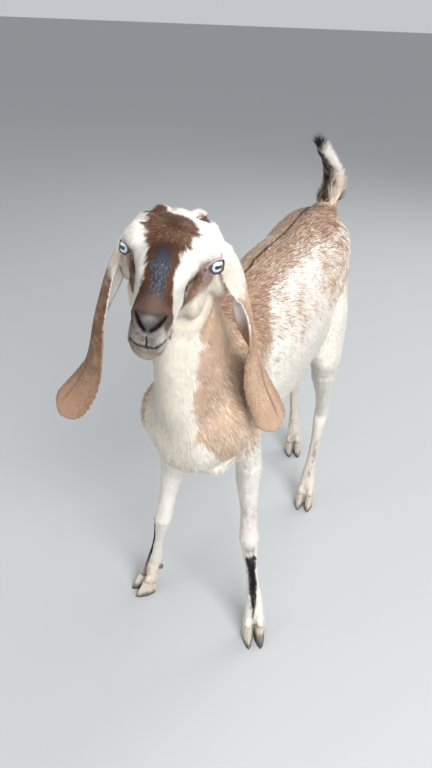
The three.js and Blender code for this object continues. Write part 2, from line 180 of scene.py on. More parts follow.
def newObject(name, mesh):
    made = bpy.data.objects.new(name, mesh)
    bpy.context.scene.collection.objects.link(made)
    return made


def meshFrom(name, points, faces):
    mesh = bpy.data.meshes.new(name)
    mesh.from_pydata(np.asarray(points).tolist(), [], np.asarray(faces).tolist())
    mesh.update()
    return mesh


def ringFaces(rings, count):
    # Four-sided faces between closed rings of points.
    around = [(j, (j + 1) % count) for j in range(count)]
    return [(k + a, k + b, k + count + b, k + count + a)
            for k in range(0, (rings - 1) * count, count) for a, b in around]


def layColour(mesh, colour):
    # Stores one colour for each of the mesh's points.
    rgba = np.ones((len(colour), 4), np.float32)
    rgba[:, :3] = colour
    mesh.color_attributes.new("coat", "FLOAT_COLOR", "POINT").data.foreach_set("color", rgba.ravel())


def modified(mesh, kind, **settings):
    # The mesh after one modifier; weights, from 0 to 1, say how far each point takes part.
    holder = newObject("holder", mesh)
    modifier = holder.modifiers.new(kind.lower(), kind)
    groupWeights = settings.pop("weights", None)
    if groupWeights is not None:
        group = holder.vertex_groups.new(name="keep")
        levels = np.round(groupWeights * 10).astype(int)
        for level in np.unique(levels):
            group.add(np.flatnonzero(levels == level).tolist(), level / 10, "REPLACE")
        modifier.vertex_group = "keep"
    for key, value in settings.items():
        setattr(modifier, key, value)
    made = bpy.data.meshes.new_from_object(holder.evaluated_get(bpy.context.evaluated_depsgraph_get()))
    bpy.data.objects.remove(holder)
    return made


def smoothed(points, edges, share, rounds, keepSize=True):
    # Moves each point towards its neighbours by share of the way, and in turn back out where size is kept.
    a, b = edges.T
    n = len(points)
    count = np.bincount(a, minlength=n) + np.bincount(b, minlength=n)
    count = np.maximum(count, 1)[:, None]
    share = np.broadcast_to(share, n)[:, None]
    for k in range(rounds):
        total = np.stack([np.bincount(a, p[b], n) + np.bincount(b, p[a], n) for p in points.T], 1)
        back = -1.03 if keepSize and k % 2 else 1
        points = points + (total / count - points) * share * back
    return points


def spreadOut(values, edges, rounds):
    return smoothed(values[:, None], edges, 0.5, rounds, False)[:, 0]


def closedSolid(nodeNames, grown):
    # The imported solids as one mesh, each a little larger, so that the thin cuts between them close.
    joined = bmesh.new()
    for name in nodeNames:
        piece = bmesh.new()
        piece.from_mesh(nodes[name].data)
        bmesh.ops.remove_doubles(piece, verts=piece.verts, dist=1e-5)
        piece.normal_update()
        for vert in piece.verts:
            vert.co += vert.normal * grown
        mesh = bpy.data.meshes.new(name)
        piece.to_mesh(mesh)
        joined.from_mesh(mesh)
        piece.free()
    return joined


fleshNames = [n for n in nodes if "claw" not in n and not n.startswith("eye")]
earNames = [n for n in fleshNames if n.startswith("ear")]
skinSizes = {
    "closeCuts": 0.5 * mm,  # how far the solids grow, to close the cuts between them
    "bodyVoxel": 3 * mm,
    "skinVoxel": 1.6 * mm,
    "triangles": 150000,
    "trunkRounds": 60,  # of smoothing over the trunk, neck and thighs
    "pollShare": 0.58,  # and over the poll and the jowls
    "pollRounds": 160,
}
coatDepth = {  # in millimetres, from the solids down to the skin
    "trunk": 4.5, "neck": 4.5, "tail": 7, "thigh": 3.5, "forearm": 3, "head": 1.6, "lower_jaw": 1.6,
}
legDepth = 2.2  # on the rest of the legs and at the ear roots


def nearestNodes(points):
    # The name of the solid that each point lies nearest to.
    verts, faces, owner = [], [], []
    for index, name in enumerate(fleshNames):
        mesh = nodes[name].data
        found = trianglesOf(mesh) + len(verts)
        verts += pointsOf(mesh).tolist()
        faces += found.tolist()
        owner += [index] * len(found)
    tree = BVHTree.FromPolygons(verts, faces)
    nearest = [tree.find_nearest(p)[2] for p in points.tolist()]
    return np.array(fleshNames)[np.array(owner)[nearest]]


def depthAt(names):
    table = {n: next((d for k, d in coatDepth.items() if n.startswith(k)), legDepth) for n in fleshNames}
    return np.array([table[n] for n in names]) * mm


pollSides = (((-26, -40, 4), (18, 22, 19)), ((24, -36, 3), (16, 20, 17)))  # the raised poll before each knob
knobs = {"side": 20, "ahead": -47, "reach": 14, "lowered": {1: 5.6, -1: 8.0}}  # in the head's millimetres
earRoots = {  # the soft root of each ear in the head's millimetres: its middle, and its reach each way
    "left": ((55, -38, -42), (16, 17, 26)),
    "right": ((-48, -34, -40), (15, 18, 26)),
}


def addBall(joined, middle, reach):
    made = bmesh.ops.create_icosphere(joined, subdivisions=3, radius=1)
    places = np.array([vert.co for vert in made["verts"]]) * reach
    for vert, place in zip(made["verts"], fromHead(places + middle)):
        vert.co = place


def softParts(joined):
    # Fills the sockets, so that the lids can be carved, and joins the ears softly to the head.
    for middle in eyeMiddles.values():
        addBall(joined, toHead(middle), 15)
    for middle, reach in earRoots.values():
        addBall(joined, middle, np.array(reach) + 2)
    for middle, reach in pollSides:
        addBall(joined, middle, reach)


def roughSkin():
    body = closedSolid([n for n in fleshNames if n not in earNames], skinSizes["closeCuts"])
    softParts(body)
    mesh = bpy.data.meshes.new("body")
    body.to_mesh(mesh)
    body.free()
    mesh = modified(mesh, "REMESH", mode="VOXEL", voxel_size=skinSizes["bodyVoxel"])
    points = pointsOf(mesh)
    names = nearestNodes(points)
    edges = edgesOf(mesh)
    trunkLike = np.isin(names, ["trunk", "neck", "thigh_left", "thigh_right"]).astype(float)
    headLike = np.isin(names, ["head", "lower_jaw"]).astype(float)
    trunkLike = spreadOut(trunkLike, edges, 12)
    headLike = spreadOut(headLike, edges, 12)
    points = smoothed(points, edges, 0.5, 10)
    points = smoothed(points, edges, 0.5 * trunkLike * (1 - headLike), skinSizes["trunkRounds"], False)
    points = smoothed(points, edges, 0.35 * (1 - headLike), 8)
    depth = depthAt(names) + skinSizes["closeCuts"]
    depth = spreadOut(depth, edges, 14)
    setPoints(mesh, points)
    points = points - normalsOf(mesh) * depth[:, None]
    setPoints(mesh, smoothed(points, edges, 0.4, 4))
    return mesh


def through(values, steps):
    # A smooth curve through rows of values, at so many even steps.
    values = np.asarray(values, float)
    padded = np.concatenate([2 * values[:1] - values[1:2], values, 2 * values[-1:] - values[-2:-1]])
    at = np.linspace(0, len(values) - 1, steps)
    k = np.minimum(at.astype(int), len(values) - 2)
    t = (at - k)[:, None]
    a, b, c, d = (padded[k + n] for n in range(4))
    return b + 0.5 * t * (c - a + t * (2 * a - 5 * b + 4 * c - d + t * (3 * (b - c) + d - a)))


earShape = {"thick": 6.0, "tipThick": 4.4, "roundedTip": 25, "rings": 90}  # millimetres, and how many rings


def earForm(side):
    # An ear as a smooth trough with a rounded tip.
    levels = earLevels[side]
    rows = through([[*at, half, depth, *out] for at, half, depth, out in levels], earShape["rings"])
    at, half, depth, out = rows[:, :3], rows[:, 3], rows[:, 4], rows[:, 5:]
    tangent = unit(np.gradient(at, axis=0))
    out = unit(out - tangent * (out * tangent).sum(1, keepdims=True))
    across = np.cross(tangent, out)
    length = np.concatenate([[0], np.cumsum(np.linalg.norm(np.diff(at, axis=0), axis=1))])
    closing = np.clip((length - length[-1] + earShape["roundedTip"]) / earShape["roundedTip"], 0, 0.995)
    half = half * np.sqrt(1 - closing**2)
    thick = np.interp(length, (0, length[-1]), (earShape["thick"], earShape["tipThick"]))
    outer = np.linspace(-1, 1, 15)
    inner = np.linspace(0.9, -0.9, 13)
    rings = []
    for v, face in [(v, 1) for v in outer] + [(v, -1) for v in inner]:
        over = face * thick * (1 - 0.6 * v**4) / 2
        narrowed = half if face > 0 else np.maximum(half - thick / 2, 0.05 * half)
        rise = depth * (0.5 - v * v) + over
        rings.append(at + across * (narrowed * v)[:, None] + out * rise[:, None])
    rings = np.stack(rings, 1)
    count = rings.shape[1]
    faces = ringFaces(len(at), count)
    faces += [tuple(range(count))[::-1], tuple((len(at) - 1) * count + j for j in range(count))]
    mesh = bpy.data.meshes.new(f"ear_{side}")
    mesh.from_pydata(fromHead(rings.reshape(-1, 3)).tolist(), [], faces)
    return mesh


def hangingEars(head, nearest):
    # Where the ears hang free of the head, from this many millimetres out to its sides.
    s, u, w = head.T
    return ramp(np.abs(s), *nearest) * ramp(w, -290, -270) * ramp(u, -75, -65) * fade(np.abs(s), 180, 200)


def wholeSkin():
    joined = bmesh.new()
    for side in earLevels:
        joined.from_mesh(earForm(side))
    bmesh.ops.recalc_face_normals(joined, faces=joined.faces)
    joined.from_mesh(roughSkin())
    mesh = bpy.data.meshes.new("skin")
    joined.to_mesh(mesh)
    joined.free()
    mesh = modified(mesh, "REMESH", mode="VOXEL", voxel_size=skinSizes["skinVoxel"])
    print("skin remeshed:", len(mesh.vertices))
    points = smoothed(pointsOf(mesh), edgesOf(mesh), 0.5, 6)
    before = toHead(points)
    setPoints(mesh, smoothed(points, edgesOf(mesh), 0.5 * hangingEars(before, (56, 66)), 6))
    head = toHead(pointsOf(mesh))
    for sign in (1, -1):
        knob = farFrom(head[:, :2], (sign * knobs["side"], knobs["ahead"]))
        near = np.exp(-((knob / knobs["reach"]) ** 4))
        head[:, 2] -= knobs["lowered"][sign] * near * ramp(head[:, 2], 5, 20)
    setPoints(mesh, fromHead(head))
    s, u, w = head.T
    poll = ramp(w, 4, 16) * fade(u, 10, 40) * ramp(u, -90, -70)
    jowl = ramp(-w, 20, 36) * fade(-w, 115, 125) * ramp(np.abs(s), 8, 14)
    jowl = jowl * ramp(u, -60, -45) * fade(u, 88, 108) * fade(np.abs(s), 48, 56)
    share = skinSizes["pollShare"] * np.maximum(poll, jowl)
    setPoints(mesh, smoothed(pointsOf(mesh), edgesOf(mesh), share, skinSizes["pollRounds"]))
    # the face keeps all its faces and the ears most of theirs
    s, u, w = before.T
    face = ramp(u, -60, -20) * ramp(w, -125, -100) * fade(np.abs(s), 62, 72)
    weights = 1 - np.clip(face + 0.6 * hangingEars(before, (55, 62)), 0, 1)
    ratio = skinSizes["triangles"] / (2 * len(mesh.polygons))
    mesh = modified(mesh, "DECIMATE", ratio=ratio, weights=weights, vertex_group_factor=1)
    print("skin reduced:", len(mesh.polygons))
    return mesh


def linear(red, green, blue):
    values = np.array([red, green, blue]) / 255
    return np.where(values <= 0.04045, values / 12.92, ((values + 0.055) / 1.055) ** 2.4)


coatColours = {
    "white": linear(238, 233, 224),
    "cream": linear(226, 214, 192),
    "tan": linear(202, 168, 138),
    "fawn": linear(146, 110, 86),
    "chestnut": linear(92, 60, 43),
    "darkBrown": linear(54, 35, 28),
    "black": linear(22, 18, 17),
    "slate": linear(52, 58, 72),
    "noseFawn": linear(102, 80, 70),
    "noseGrey": linear(62, 60, 58),
    "lip": linear(104, 97, 92),
    "mauve": linear(168, 148, 146),
    "pink": linear(205, 172, 160),
    "beige": linear(214, 190, 166),
    "silver": linear(150, 152, 160),
    # innerEar: partly the inner ear's own pale pink, partly painted light, lifted near white against the
    # shade of its trough
    "innerEar": linear(254, 246, 242),
    "earTan": linear(178, 144, 114),
    "earTip": linear(180, 149, 128),
}
noiseCells = 40  # before the noise repeats
noiseTable = np.random.default_rng(11).random((noiseCells, noiseCells, noiseCells))


def noise(points, size, shift=0.0):
    # Smooth noise from 0 to 1, with lumps of about size, in the points' own units.
    places = points / size + shift
    cell = np.floor(places).astype(int)
    t = places - cell
    t = t * t * (3 - 2 * t)
    total = np.zeros(len(points))
    for corner in np.ndindex(2, 2, 2):
        weight = np.prod(np.where(corner, t, 1 - t), axis=1)
        total += weight * noiseTable[tuple(((cell + corner) % noiseCells).T)]
    return total


eyeShape = {  # in the head's millimetres, 1 for its left eye and -1 for its right
    "middles": {1: (43.5, 2, -9.4), -1: (-41, 2, -7)}, "gaze": (0.76, 0.64, 0.1),
    "radius": 13.8, "bulge": 1.3, "spokes": 96,
    "halfWide": 43, "halfHigh": {1: 25, -1: 20.5},  # of the opening, in degrees round the eyeball
    "rim": 1.2, "lid": 1.9, "hidden": -2.6,  # how far the skin lies from the eyeball, in millimetres
}
# Lines of the face in the head's millimetres. Nostril, tear, band and bag are mirrored for the other side.
faceLines = {
    "nostril": [(17, 119, -13), (14.5, 122, -17), (11.5, 127, -20), (8, 130, -22.5), (3.5, 132, -25.5)],
    "philtrum": [(0, 134, -26), (0, 134, -34), (0.5, 133, -48)],
    "mouth": [
        (-26, 88, -44), (-23, 97, -42), (-22, 106, -40), (-19, 118, -40), (-15, 129, -41), (-9, 133, -45),
        (0.5, 134, -47), (9, 133, -46), (14, 131, -42), (18, 126, -38.5), (21, 115, -39), (22, 106, -39),
        (23, 97, -39), (26, 88, -40),
    ],
    "tear": [(39, 19.5, -11), (37, 26, -11), (33, 33, -12)],
    "band": [(40, 30, -3), (31, 48, -6), (27, 66, -12)],
    "bag": [(47, 8, -27), (42, 20, -26), (37, 28, -22)],
}


def eyeFrame(sign):
    # The middle of an eye and its own directions in the head's millimetres: along the gaze, forwards, up.
    middle = np.array(eyeShape["middles"][sign], float)
    gaze = unit(np.array(eyeShape["gaze"]) * (sign, 1, 1))
    ahead = unit(np.cross((0, 0, 1.0), gaze) * sign)
    upward = np.cross(gaze, ahead) * sign
    return middle, gaze, ahead, upward


def eyeOpening(head, sign):
    # How far out of the eye's opening each point lies, 1 at its edge, its height in degrees, and how far and
    # which way it lies from the eye's middle.
    middle, gaze, ahead, upward = eyeFrame(sign)
    away = head - middle
    far = np.linalg.norm(away, axis=1)
    away = away / np.maximum(far, 1e-6)[:, None]
    across = np.degrees(np.arctan2(away @ ahead, away @ gaze))
    height = np.degrees(np.arcsin(np.clip(away @ upward, -1, 1)))
    power = 2.1 - 0.5 * ramp(across, 18, 38)
    wide = np.abs(across / eyeShape["halfWide"])
    high = np.abs(height / eyeShape["halfHigh"][sign])
    out = (wide**power + high**power) ** (1 / power)
    return np.where(away @ gaze < -0.2, 9.0, out), height, far, away


def divided(mesh, near):
    # Cuts each face whose corners all satisfy near into four.
    work = bmesh.new()
    work.from_mesh(mesh)
    work.verts.ensure_lookup_table()
    chosen = near(toHead(pointsOf(mesh)))
    edges = [e for e in work.edges if chosen[e.verts[0].index] and chosen[e.verts[1].index]]
    bmesh.ops.subdivide_edges(work, edges=edges, cuts=1, use_grid_fill=True)
    work.to_mesh(mesh)
    work.free()
    mesh.update()


def nearEyes(reach):
    middles = eyeShape["middles"].values()
    return lambda head: np.minimum(*(farFrom(head, middle) for middle in middles)) < reach


def mirrored(head):
    return head * (np.where(head[:, 0] < 0, -1, 1)[:, None] * (1, 0, 0) + (0, 1, 1))


def layLines(mesh):
    # Brings the lines of the nose and mouth onto the skin, so that they are carved and coloured in one place.
    tree = BVHTree.FromPolygons(toHead(pointsOf(mesh)).tolist(), [tuple(p.vertices) for p in mesh.polygons])
    quarters = np.linspace(0, 1, 4, endpoint=False)
    for name, line in faceLines.items():
        ends = np.array(line, float)
        steps = [a + (b - a) * t for a, b in zip(ends, ends[1:]) for t in quarters]
        faceLines[name] = np.array([tree.find_nearest(p)[0] for p in [*steps, ends[-1]]])


def lineFar(head, name):
    return alongLine(head, faceLines[name])[0]


def muzzleLines(head):
    nostril = lineFar(mirrored(head), "nostril")
    return np.minimum.reduce([nostril, lineFar(head, "mouth"), lineFar(head, "philtrum")])


def carveEyes(head):
    # Lays the lids round each eyeball, with the creases above and below them.
    for sign in (1, -1):
        out, height, far, away = eyeOpening(head, sign)
        middle = eyeFrame(sign)[0]
        base = eyeShape["radius"]
        rim = base + eyeShape["hidden"] + (eyeShape["rim"] - eyeShape["hidden"]) * ramp(out, 0.92, 1.0)
        rim = rim + (eyeShape["lid"] - eyeShape["rim"]) * ramp(out, 1.0, 1.12)
        blend = ramp(out, 1.2, 2.15)
        radius = rim + (far - rim) * blend
        upper = sum(deep * bump(out, at, 0.12) for at, deep in ((1.5, 1.0), (1.95, 0.6), (2.35, 0.35)))
        lower = sum(deep * bump(out, at, 0.12) for at, deep in ((1.45, 0.7), (1.85, 0.35)))
        radius -= upper * ramp(height, 2, 12)
        radius -= lower * ramp(-height, 4, 14)
        near = (out < 3.2) & (far < 32)
        head = np.where(near[:, None], middle + away * radius[:, None], head)
    return head


def padShare(head):
    # How far a place on the head belongs to the bare pad between the nostrils.
    s, u, w = head.T
    line = faceLines["nostril"]
    reach = np.interp(w, line[::-1, 2], line[::-1, 0])
    share = ramp(reach + 1 - np.abs(s), 0, 1.5) * ramp(u, 112, 120) * ramp(w, -30, -27)
    return share * fade(w - 0.25 * (u - 124), -13, -8)


def carveFace(points, normals):
    head = toHead(points)
    head = carveEyes(head)
    inwards = -(normals @ headBasis)
    folded = mirrored(head)
    # nostrils: a slit, deepest in its middle, with a rounded wing below and outside it
    far, along = alongLine(folded, faceLines["nostril"])
    deep = np.interp(along, (0, 0.2, 0.6, 0.9, 1), (1.6, 3.6, 6.0, 4.4, 2.2))
    wide = np.interp(along, (0, 0.25, 0.6, 1), (1.0, 1.4, 1.7, 1.2))
    push = deep * np.exp(-((far / wide) ** 2)) - 0.8 * bump(far, 4.6, 1.8) * ramp(along, 0, 0.2)
    push += 0.5 * (noise(head, 1.7) - 0.5) * padShare(head)
    # philtrum, mouth line and the soft swell of each lip
    cleft, down = alongLine(head, faceLines["philtrum"])
    push += 1.5 * np.exp(-((cleft / 0.9) ** 2)) * ramp(down, 0, 0.2)
    mouth = lineFar(head, "mouth")
    push += 2.6 * np.exp(-((mouth / 1.1) ** 2)) - 0.9 * bump(mouth, 4, 2.2)
    # the fold from the front corner of the eye, the edge of the nasal band and the fold under the eye
    for name, depth, width in (("tear", 1.1, 1.8), ("band", 0.8, 4), ("bag", 0.5, 1.6)):
        push += depth * np.exp(-((lineFar(folded, name) / width) ** 2))
    return fromHead(head + inwards * push[:, None])


# Folds over the body: a line in millimetres, its depth and its half width. The fourth is raised.
bodyFolds = [
    ([(21, -295, 494), (29, -293, 473), (45, -286, 460), (60, -280, 468), (68, -277, 486), (68, -280, 512),
      (60, -284, 530)], 2.6, 5),
    ([(72, -268, 545), (78, -262, 515), (84, -256, 490)], 1.2, 7),
    ([(54, -258, 434), (66, -250, 438), (80, -240, 448)], 15, 17),
    ([(-14, 30, 678), (-30, 110, 678), (-34, 220, 674), (-20, 290, 668)], -4, 42),
    ([(49, -243, 707), (50, -280, 650), (52, -287, 590), (52, -286, 550)], 1.0, 7),
]


def carveBody(points, normals):
    push = np.zeros(len(points))
    for line, depth, width in bodyFolds:
        push += depth * np.exp(-((alongLine(points / mm, line)[0] / width) ** 2))
    return points - normals * push[:, None] * mm


def nearLines(reach, start):
    return lambda head: (muzzleLines(head) < reach) & (head[:, 1] > start)


def finishedSkin(mesh):
    # Cuts the skin finer round the eyes and the lines of the muzzle, then carves it.
    divided(mesh, nearEyes(27))
    divided(mesh, nearEyes(19))
    layLines(mesh)
    divided(mesh, nearLines(9, 88))
    divided(mesh, nearLines(3.2, 92))
    points = pointsOf(mesh)
    edges = edgesOf(mesh)
    head = toHead(points)
    face = ramp(head[:, 1], -30, -10) * ramp(head[:, 2], -110, -90)
    points = smoothed(points, edges, 0.5 * face, 6)
    setPoints(mesh, points)
    flat = points
    points = carveBody(carveFace(points, normalsOf(mesh)), normalsOf(mesh))
    setPoints(mesh, points)
    near = np.exp(-((muzzleLines(toHead(points)) / 6) ** 2)) * face
    points = smoothed(points, edges, 0.3 * np.maximum(near, nearEyes(24)(toHead(points))), 2)
    setPoints(mesh, points)
    print("skin carved:", len(mesh.vertices))
    return mesh, flat


skinMesh, flatPoints = finishedSkin(wholeSkin())  # flatPoints: the skin before its grooves were carved
skinMesh.shade_smooth()
skin = newObject("skin", skinMesh)
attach(skin, "root")
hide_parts(*fleshNames)


def eyeball(name, sign):
    middle, gaze, ahead, upward = eyeFrame(sign)
    spokes = eyeShape["spokes"]
    turn = np.radians(np.concatenate([np.linspace(0, 50, 46), np.linspace(54, 180, 15)]))
    angle = np.linspace(0, 2 * np.pi, spokes, endpoint=False)
    bulge = eyeShape["bulge"] * np.exp(-((np.degrees(turn) / 33) ** 3))
    radius = eyeShape["radius"] + bulge
    ways = (np.cos(turn)[:, None, None] * gaze + np.sin(turn)[:, None, None]
            * (np.cos(angle)[None, :, None] * ahead + np.sin(angle)[None, :, None] * upward))
    places = (middle + ways * radius[:, None, None]).reshape(-1, 3)
    made = meshFrom(name, fromHead(places), ringFaces(len(turn), spokes))
    work = bmesh.new()
    work.from_mesh(made)
    bmesh.ops.remove_doubles(work, verts=work.verts, dist=1e-6)
    bmesh.ops.recalc_face_normals(work, faces=work.faces)
    work.to_mesh(made)
    work.free()
    made.shade_smooth()
    return made


eyeColours = {"iris": linear(186, 203, 214), "inner": linear(222, 230, 234), "fibre": linear(120, 142, 160),
              "pupil": linear(8, 10, 14), "limbus": linear(38, 38, 44), "white": linear(158, 142, 146)}


def eyeColour(points, sign):
    middle, gaze = eyeFrame(sign)[:2]
    level = unit(np.cross(np.array([0, 0, 1.0]) @ headBasis, gaze))
    above = np.cross(gaze, level)
    away = unit(toHead(points) - middle)
    x, y = away @ level * eyeShape["radius"], away @ above * eyeShape["radius"]
    angle = np.arctan2(y, x)
    far = np.hypot(x, y)
    fibre = noise(toRows(angle * 9, far * 0.35, sign), 1.0) - 0.5
    colour = np.broadcast_to(eyeColours["iris"], (len(x), 3)).copy()

    def lay(name, share):
        nonlocal colour
        colour = colour + (eyeColours[name] - colour) * np.clip(share, 0, 1)[:, None]

    lay("inner", fade(far, 2.5, 6) * 0.7 + fibre)
    lay("fibre", 1.3 * np.maximum(-fibre, 0) + 0.5 * ramp(far, 6, 8))
    lay("limbus", ramp(far, 7.5, 8.1))
    lay("white", ramp(far, 8.5, 9.3))
    slot = np.abs(x / 5.6) ** 4 + np.abs(y / (1.75 + 0.6 * ramp(np.abs(x), 1, 4.5))) ** 3
    lay("pupil", fade(slot, 0.75, 1.2))
    return colour


# Each material's fine noise per metre, the roughness it runs between, and its bump's strength and height.
hair = {"noise": (900, 900, 900), "detail": 2, "bump": (0.35, 0.0006),
        "shader": {"Specular IOR Level": 0.12, "Sheen Weight": 0.04}}
materials = {
    "coatHair": {**hair, "roughness": (0.48, 0.72)},
    "skinHair": {**hair, "roughness": (0.58, 0.82)},
    "eyeWet": {"noise": (700, 700, 700), "detail": 2, "bump": (0.08, 0.0002), "roughness": (0.08, 0.2),
               "shader": {"Coat Weight": 1, "Coat Roughness": 0.03}},
    "horn": {"noise": (260, 260, 700), "detail": 4, "bump": (0.4, 0.0005), "roughness": (0.38, 0.62),
             "shader": {}},
}


def grained(name):
    # A material that takes its colour from the mesh, and its roughness and bump from one fine noise.
    look = materials[name]
    material = bpy.data.materials.new(name)
    material.use_nodes = True
    tree = material.node_tree
    shader = tree.nodes["Principled BSDF"]
    for key, value in look["shader"].items():
        shader.inputs[key].default_value = value
    colour = tree.nodes.new("ShaderNodeVertexColor")
    colour.layer_name = "coat"
    tree.links.new(colour.outputs["Color"], shader.inputs["Base Color"])
    place = tree.nodes.new("ShaderNodeTexCoord")
    stretched = tree.nodes.new("ShaderNodeMapping")
    stretched.inputs["Scale"].default_value = look["noise"]
    tree.links.new(place.outputs["Object"], stretched.inputs["Vector"])
    grain = tree.nodes.new("ShaderNodeTexNoise")
    grain.inputs["Scale"].default_value = 1
    grain.inputs["Detail"].default_value = look["detail"]
    tree.links.new(stretched.outputs["Vector"], grain.inputs["Vector"])
    spread = tree.nodes.new("ShaderNodeMapRange")
    spread.inputs["To Min"].default_value = look["roughness"][0]
    spread.inputs["To Max"].default_value = look["roughness"][1]
    tree.links.new(grain.outputs["Fac"], spread.inputs["Value"])
    tree.links.new(spread.outputs["Result"], shader.inputs["Roughness"])
    raised = tree.nodes.new("ShaderNodeBump")
    raised.inputs["Strength"].default_value = look["bump"][0]
    raised.inputs["Distance"].default_value = look["bump"][1]
    tree.links.new(grain.outputs["Fac"], raised.inputs["Height"])
    tree.links.new(raised.outputs["Normal"], shader.inputs["Normal"])
    return material


def legPlaces(points, foot):
    # Outwards, ahead and up from the middle of a lower leg, in millimetres.
    place = feet[foot]
    turn = math.radians(place["out"] * place["side"])
    ahead = np.array([math.sin(turn), -math.cos(turn), 0])
    outwards = np.array([math.cos(turn), math.sin(turn), 0]) * place["side"]
    toe = np.array([*place["toe"], 0.0])
    fetlock = toe - 50 * ahead + np.array([0, 0, 77])
    levels = [0, 77, place["knee"][2]]
    line = np.array([toe - 35 * ahead, fetlock, place["knee"]])
    middle = between(points[:, 2], levels, line)
    return (points - middle) @ outwards, (points - middle) @ ahead, points[:, 2]


def inRegion(region, *starts):
    codes = [k for k, n in enumerate(fleshNames) if n.startswith(starts)]
    return np.isin(region, codes)


def paint(colour, name, share):
    share = np.clip(share, 0, 1)[:, None]
    colour += (coatColours[name] - colour) * share


bodyMarks = {  # where the markings of the body end, in millimetres
    "backEdge": (624, 682), "roanEdge": (510, 605), "shoulderStart": (145, 180),
    "throatMiddle": -1, "throatHalf": 43, "brisket": (39, 488, 28),
}
bodyMiddle = 17  # how far to its left the middle of the trunk lies, in millimetres
# Patches on the flank, each with its middle and reach in millimetres.
whitePatches = [(78, -66, 625, 26), (75, 66, 646, 34), (93, 53, 608, 24), (72, -13, 641, 20),
                (105, 62, 571, 30)]
brownPatches = [(87, 65, 629, 11), (84, 13, 627, 14), (99, 50, 590, 14), (75, -52, 634, 10),
                (77, -89, 620, 16)]


def spot(points, place):
    # A patch, the same on both flanks.
    folded = points.copy()
    folded[:, 0] = bodyMiddle + np.abs(points[:, 0] - bodyMiddle)
    return np.exp(-((farFrom(folded, place[:3]) / place[3]) ** 2))


def spineAt(y):
    # How far to its left the spine runs, in millimetres.
    return np.interp(y, (-70, 309), (16, 2))


def paintBody(colour, place, region, normals, grain):
    x, y, z = place.T
    rough = noise(place * (1, 0.45, 0.8), 12) - 0.5
    fine = noise(place * (1, 0.4, 0.8), 4, 3) - 0.5
    blotch = noise(place, 34, 8) - 0.5
    withers = ramp(-y, 60, 130)
    back = ramp(z + 20 * rough + 12 * blotch + 60 * withers, *bodyMarks["backEdge"])
    roan = ramp(z + 30 * blotch, *bodyMarks["roanEdge"]) * (0.34 + 0.5 * rough + 0.5 * blotch)
    share = np.maximum(back * 0.95, roan)
    for patch in whitePatches:
        share *= 1 - 0.6 * spot(place, patch) * ramp(y, -110, -90)
    for patch in brownPatches:
        share = np.maximum(share, 0.6 * spot(place, patch))
    hip = ramp(y, 90, 128) * ramp(z + 24 * rough, 530, 590) * (0.6 + 0.5 * rough)
    share = np.maximum(share, hip)
    edge = np.interp(y, (-275, -207), (462, 446))
    shoulder = ramp(-y + 20 * rough, *bodyMarks["shoulderStart"]) * ramp(z + 20 * rough, edge - 8, edge + 20)
    share = np.maximum(share, (0.88 - 0.3 * ramp(-z, -500, -455)) * shoulder)
    share = np.where(inRegion(region, "neck"), 0.96, share)
    off = np.abs(x - bodyMarks["throatMiddle"]) + 6 * rough + 4 * fine + 4 * (grain - 0.5)
    front = ramp(-normals[:, 1], -0.45, -0.1) * fade(normals[:, 2], 0.5, 0.75)
    half = bodyMarks["throatHalf"]
    throat = fade(off, half - 5, half + 5) * front * ramp(-y, 150, 175)
    ballX, ballZ, ballHalf = bodyMarks["brisket"]
    ball = np.hypot(x - ballX, z - ballZ) + 8 * rough + 4 * (grain - 0.5)
    brisket = fade(ball, ballHalf - 5, ballHalf + 4) * ramp(-y, 240, 262)
    share *= 1 - np.maximum(throat, brisket)
    fore = ramp(-y, 170, 215)
    brown = np.broadcast_to(coatColours["fawn"], colour.shape).copy()
    paint(brown, "tan", 0.8 * ramp(-z, -655, -600) * (1 - fore))
    paint(brown, "tan", fore * (0.5 + 0.8 * rough + 0.5 * blotch))
    paint(brown, "tan", hip * 0.8 * fade(z, 630, 660))
    paint(brown, "chestnut", 0.35 * ramp(z, 660, 684) * (0.5 + rough) * (1 - fore))
    paint(brown, "beige", 0.65 * strands(grain, 40, 0.25, 0.9))
    paint(brown, "chestnut", (0.5 - 0.25 * fore) * strands(grain, 57, 0.45, 0.9))
    paint(brown, "tan", 0.6 * (1 - fore) * ramp(spineAt(y) - x, -4, 8) * (0.8 + rough))
    paint(brown, "beige", 0.35 * fore)
    paint(brown, "pink", 0.3 * fore * ramp(blotch, 0, 0.3))
    share = np.maximum(share, 0.08 * ramp(z, 470, 520) * (y < 110))
    share *= 1 - np.maximum(throat, brisket)
    mixedIn = ramp(share - grain, -0.25, 0.25)[:, None]
    colour += (brown - colour) * mixedIn
    # painted shade under the head: the throat is greyed with the lip colour and dulled with cream; the lower
    # body is also creamed
    paint(colour, "lip", 0.22 * throat * ramp(z, 540, 620))
    paint(colour, "cream", throat * 0.4 + 0.3 * ramp(-z, -560, -480) * (0.5 + blotch))
    besideTail = fade(alongLine(place, [(27, 324, 700), (32, 326, 655)])[0] + 10 * rough, 9, 18)
    paint(colour, "beige", 0.85 * besideTail)
    crease = np.abs(x - spineAt(y) + 3 * rough)
    line = fade(crease, 1.2, 2.8) * ramp(normals[:, 2], 0.3, 0.7) * ramp(z, 600, 640)
    paint(colour, "darkBrown", line * ramp(-y, -330, -290) * fade(-y, 110, 135))


tailEdge = {  # where its dark side ends, in millimetres
    "heights": (672, 692, 720, 751, 770, 790),
    "lefts": (26, 27, 29, 26, 15, 5),
}


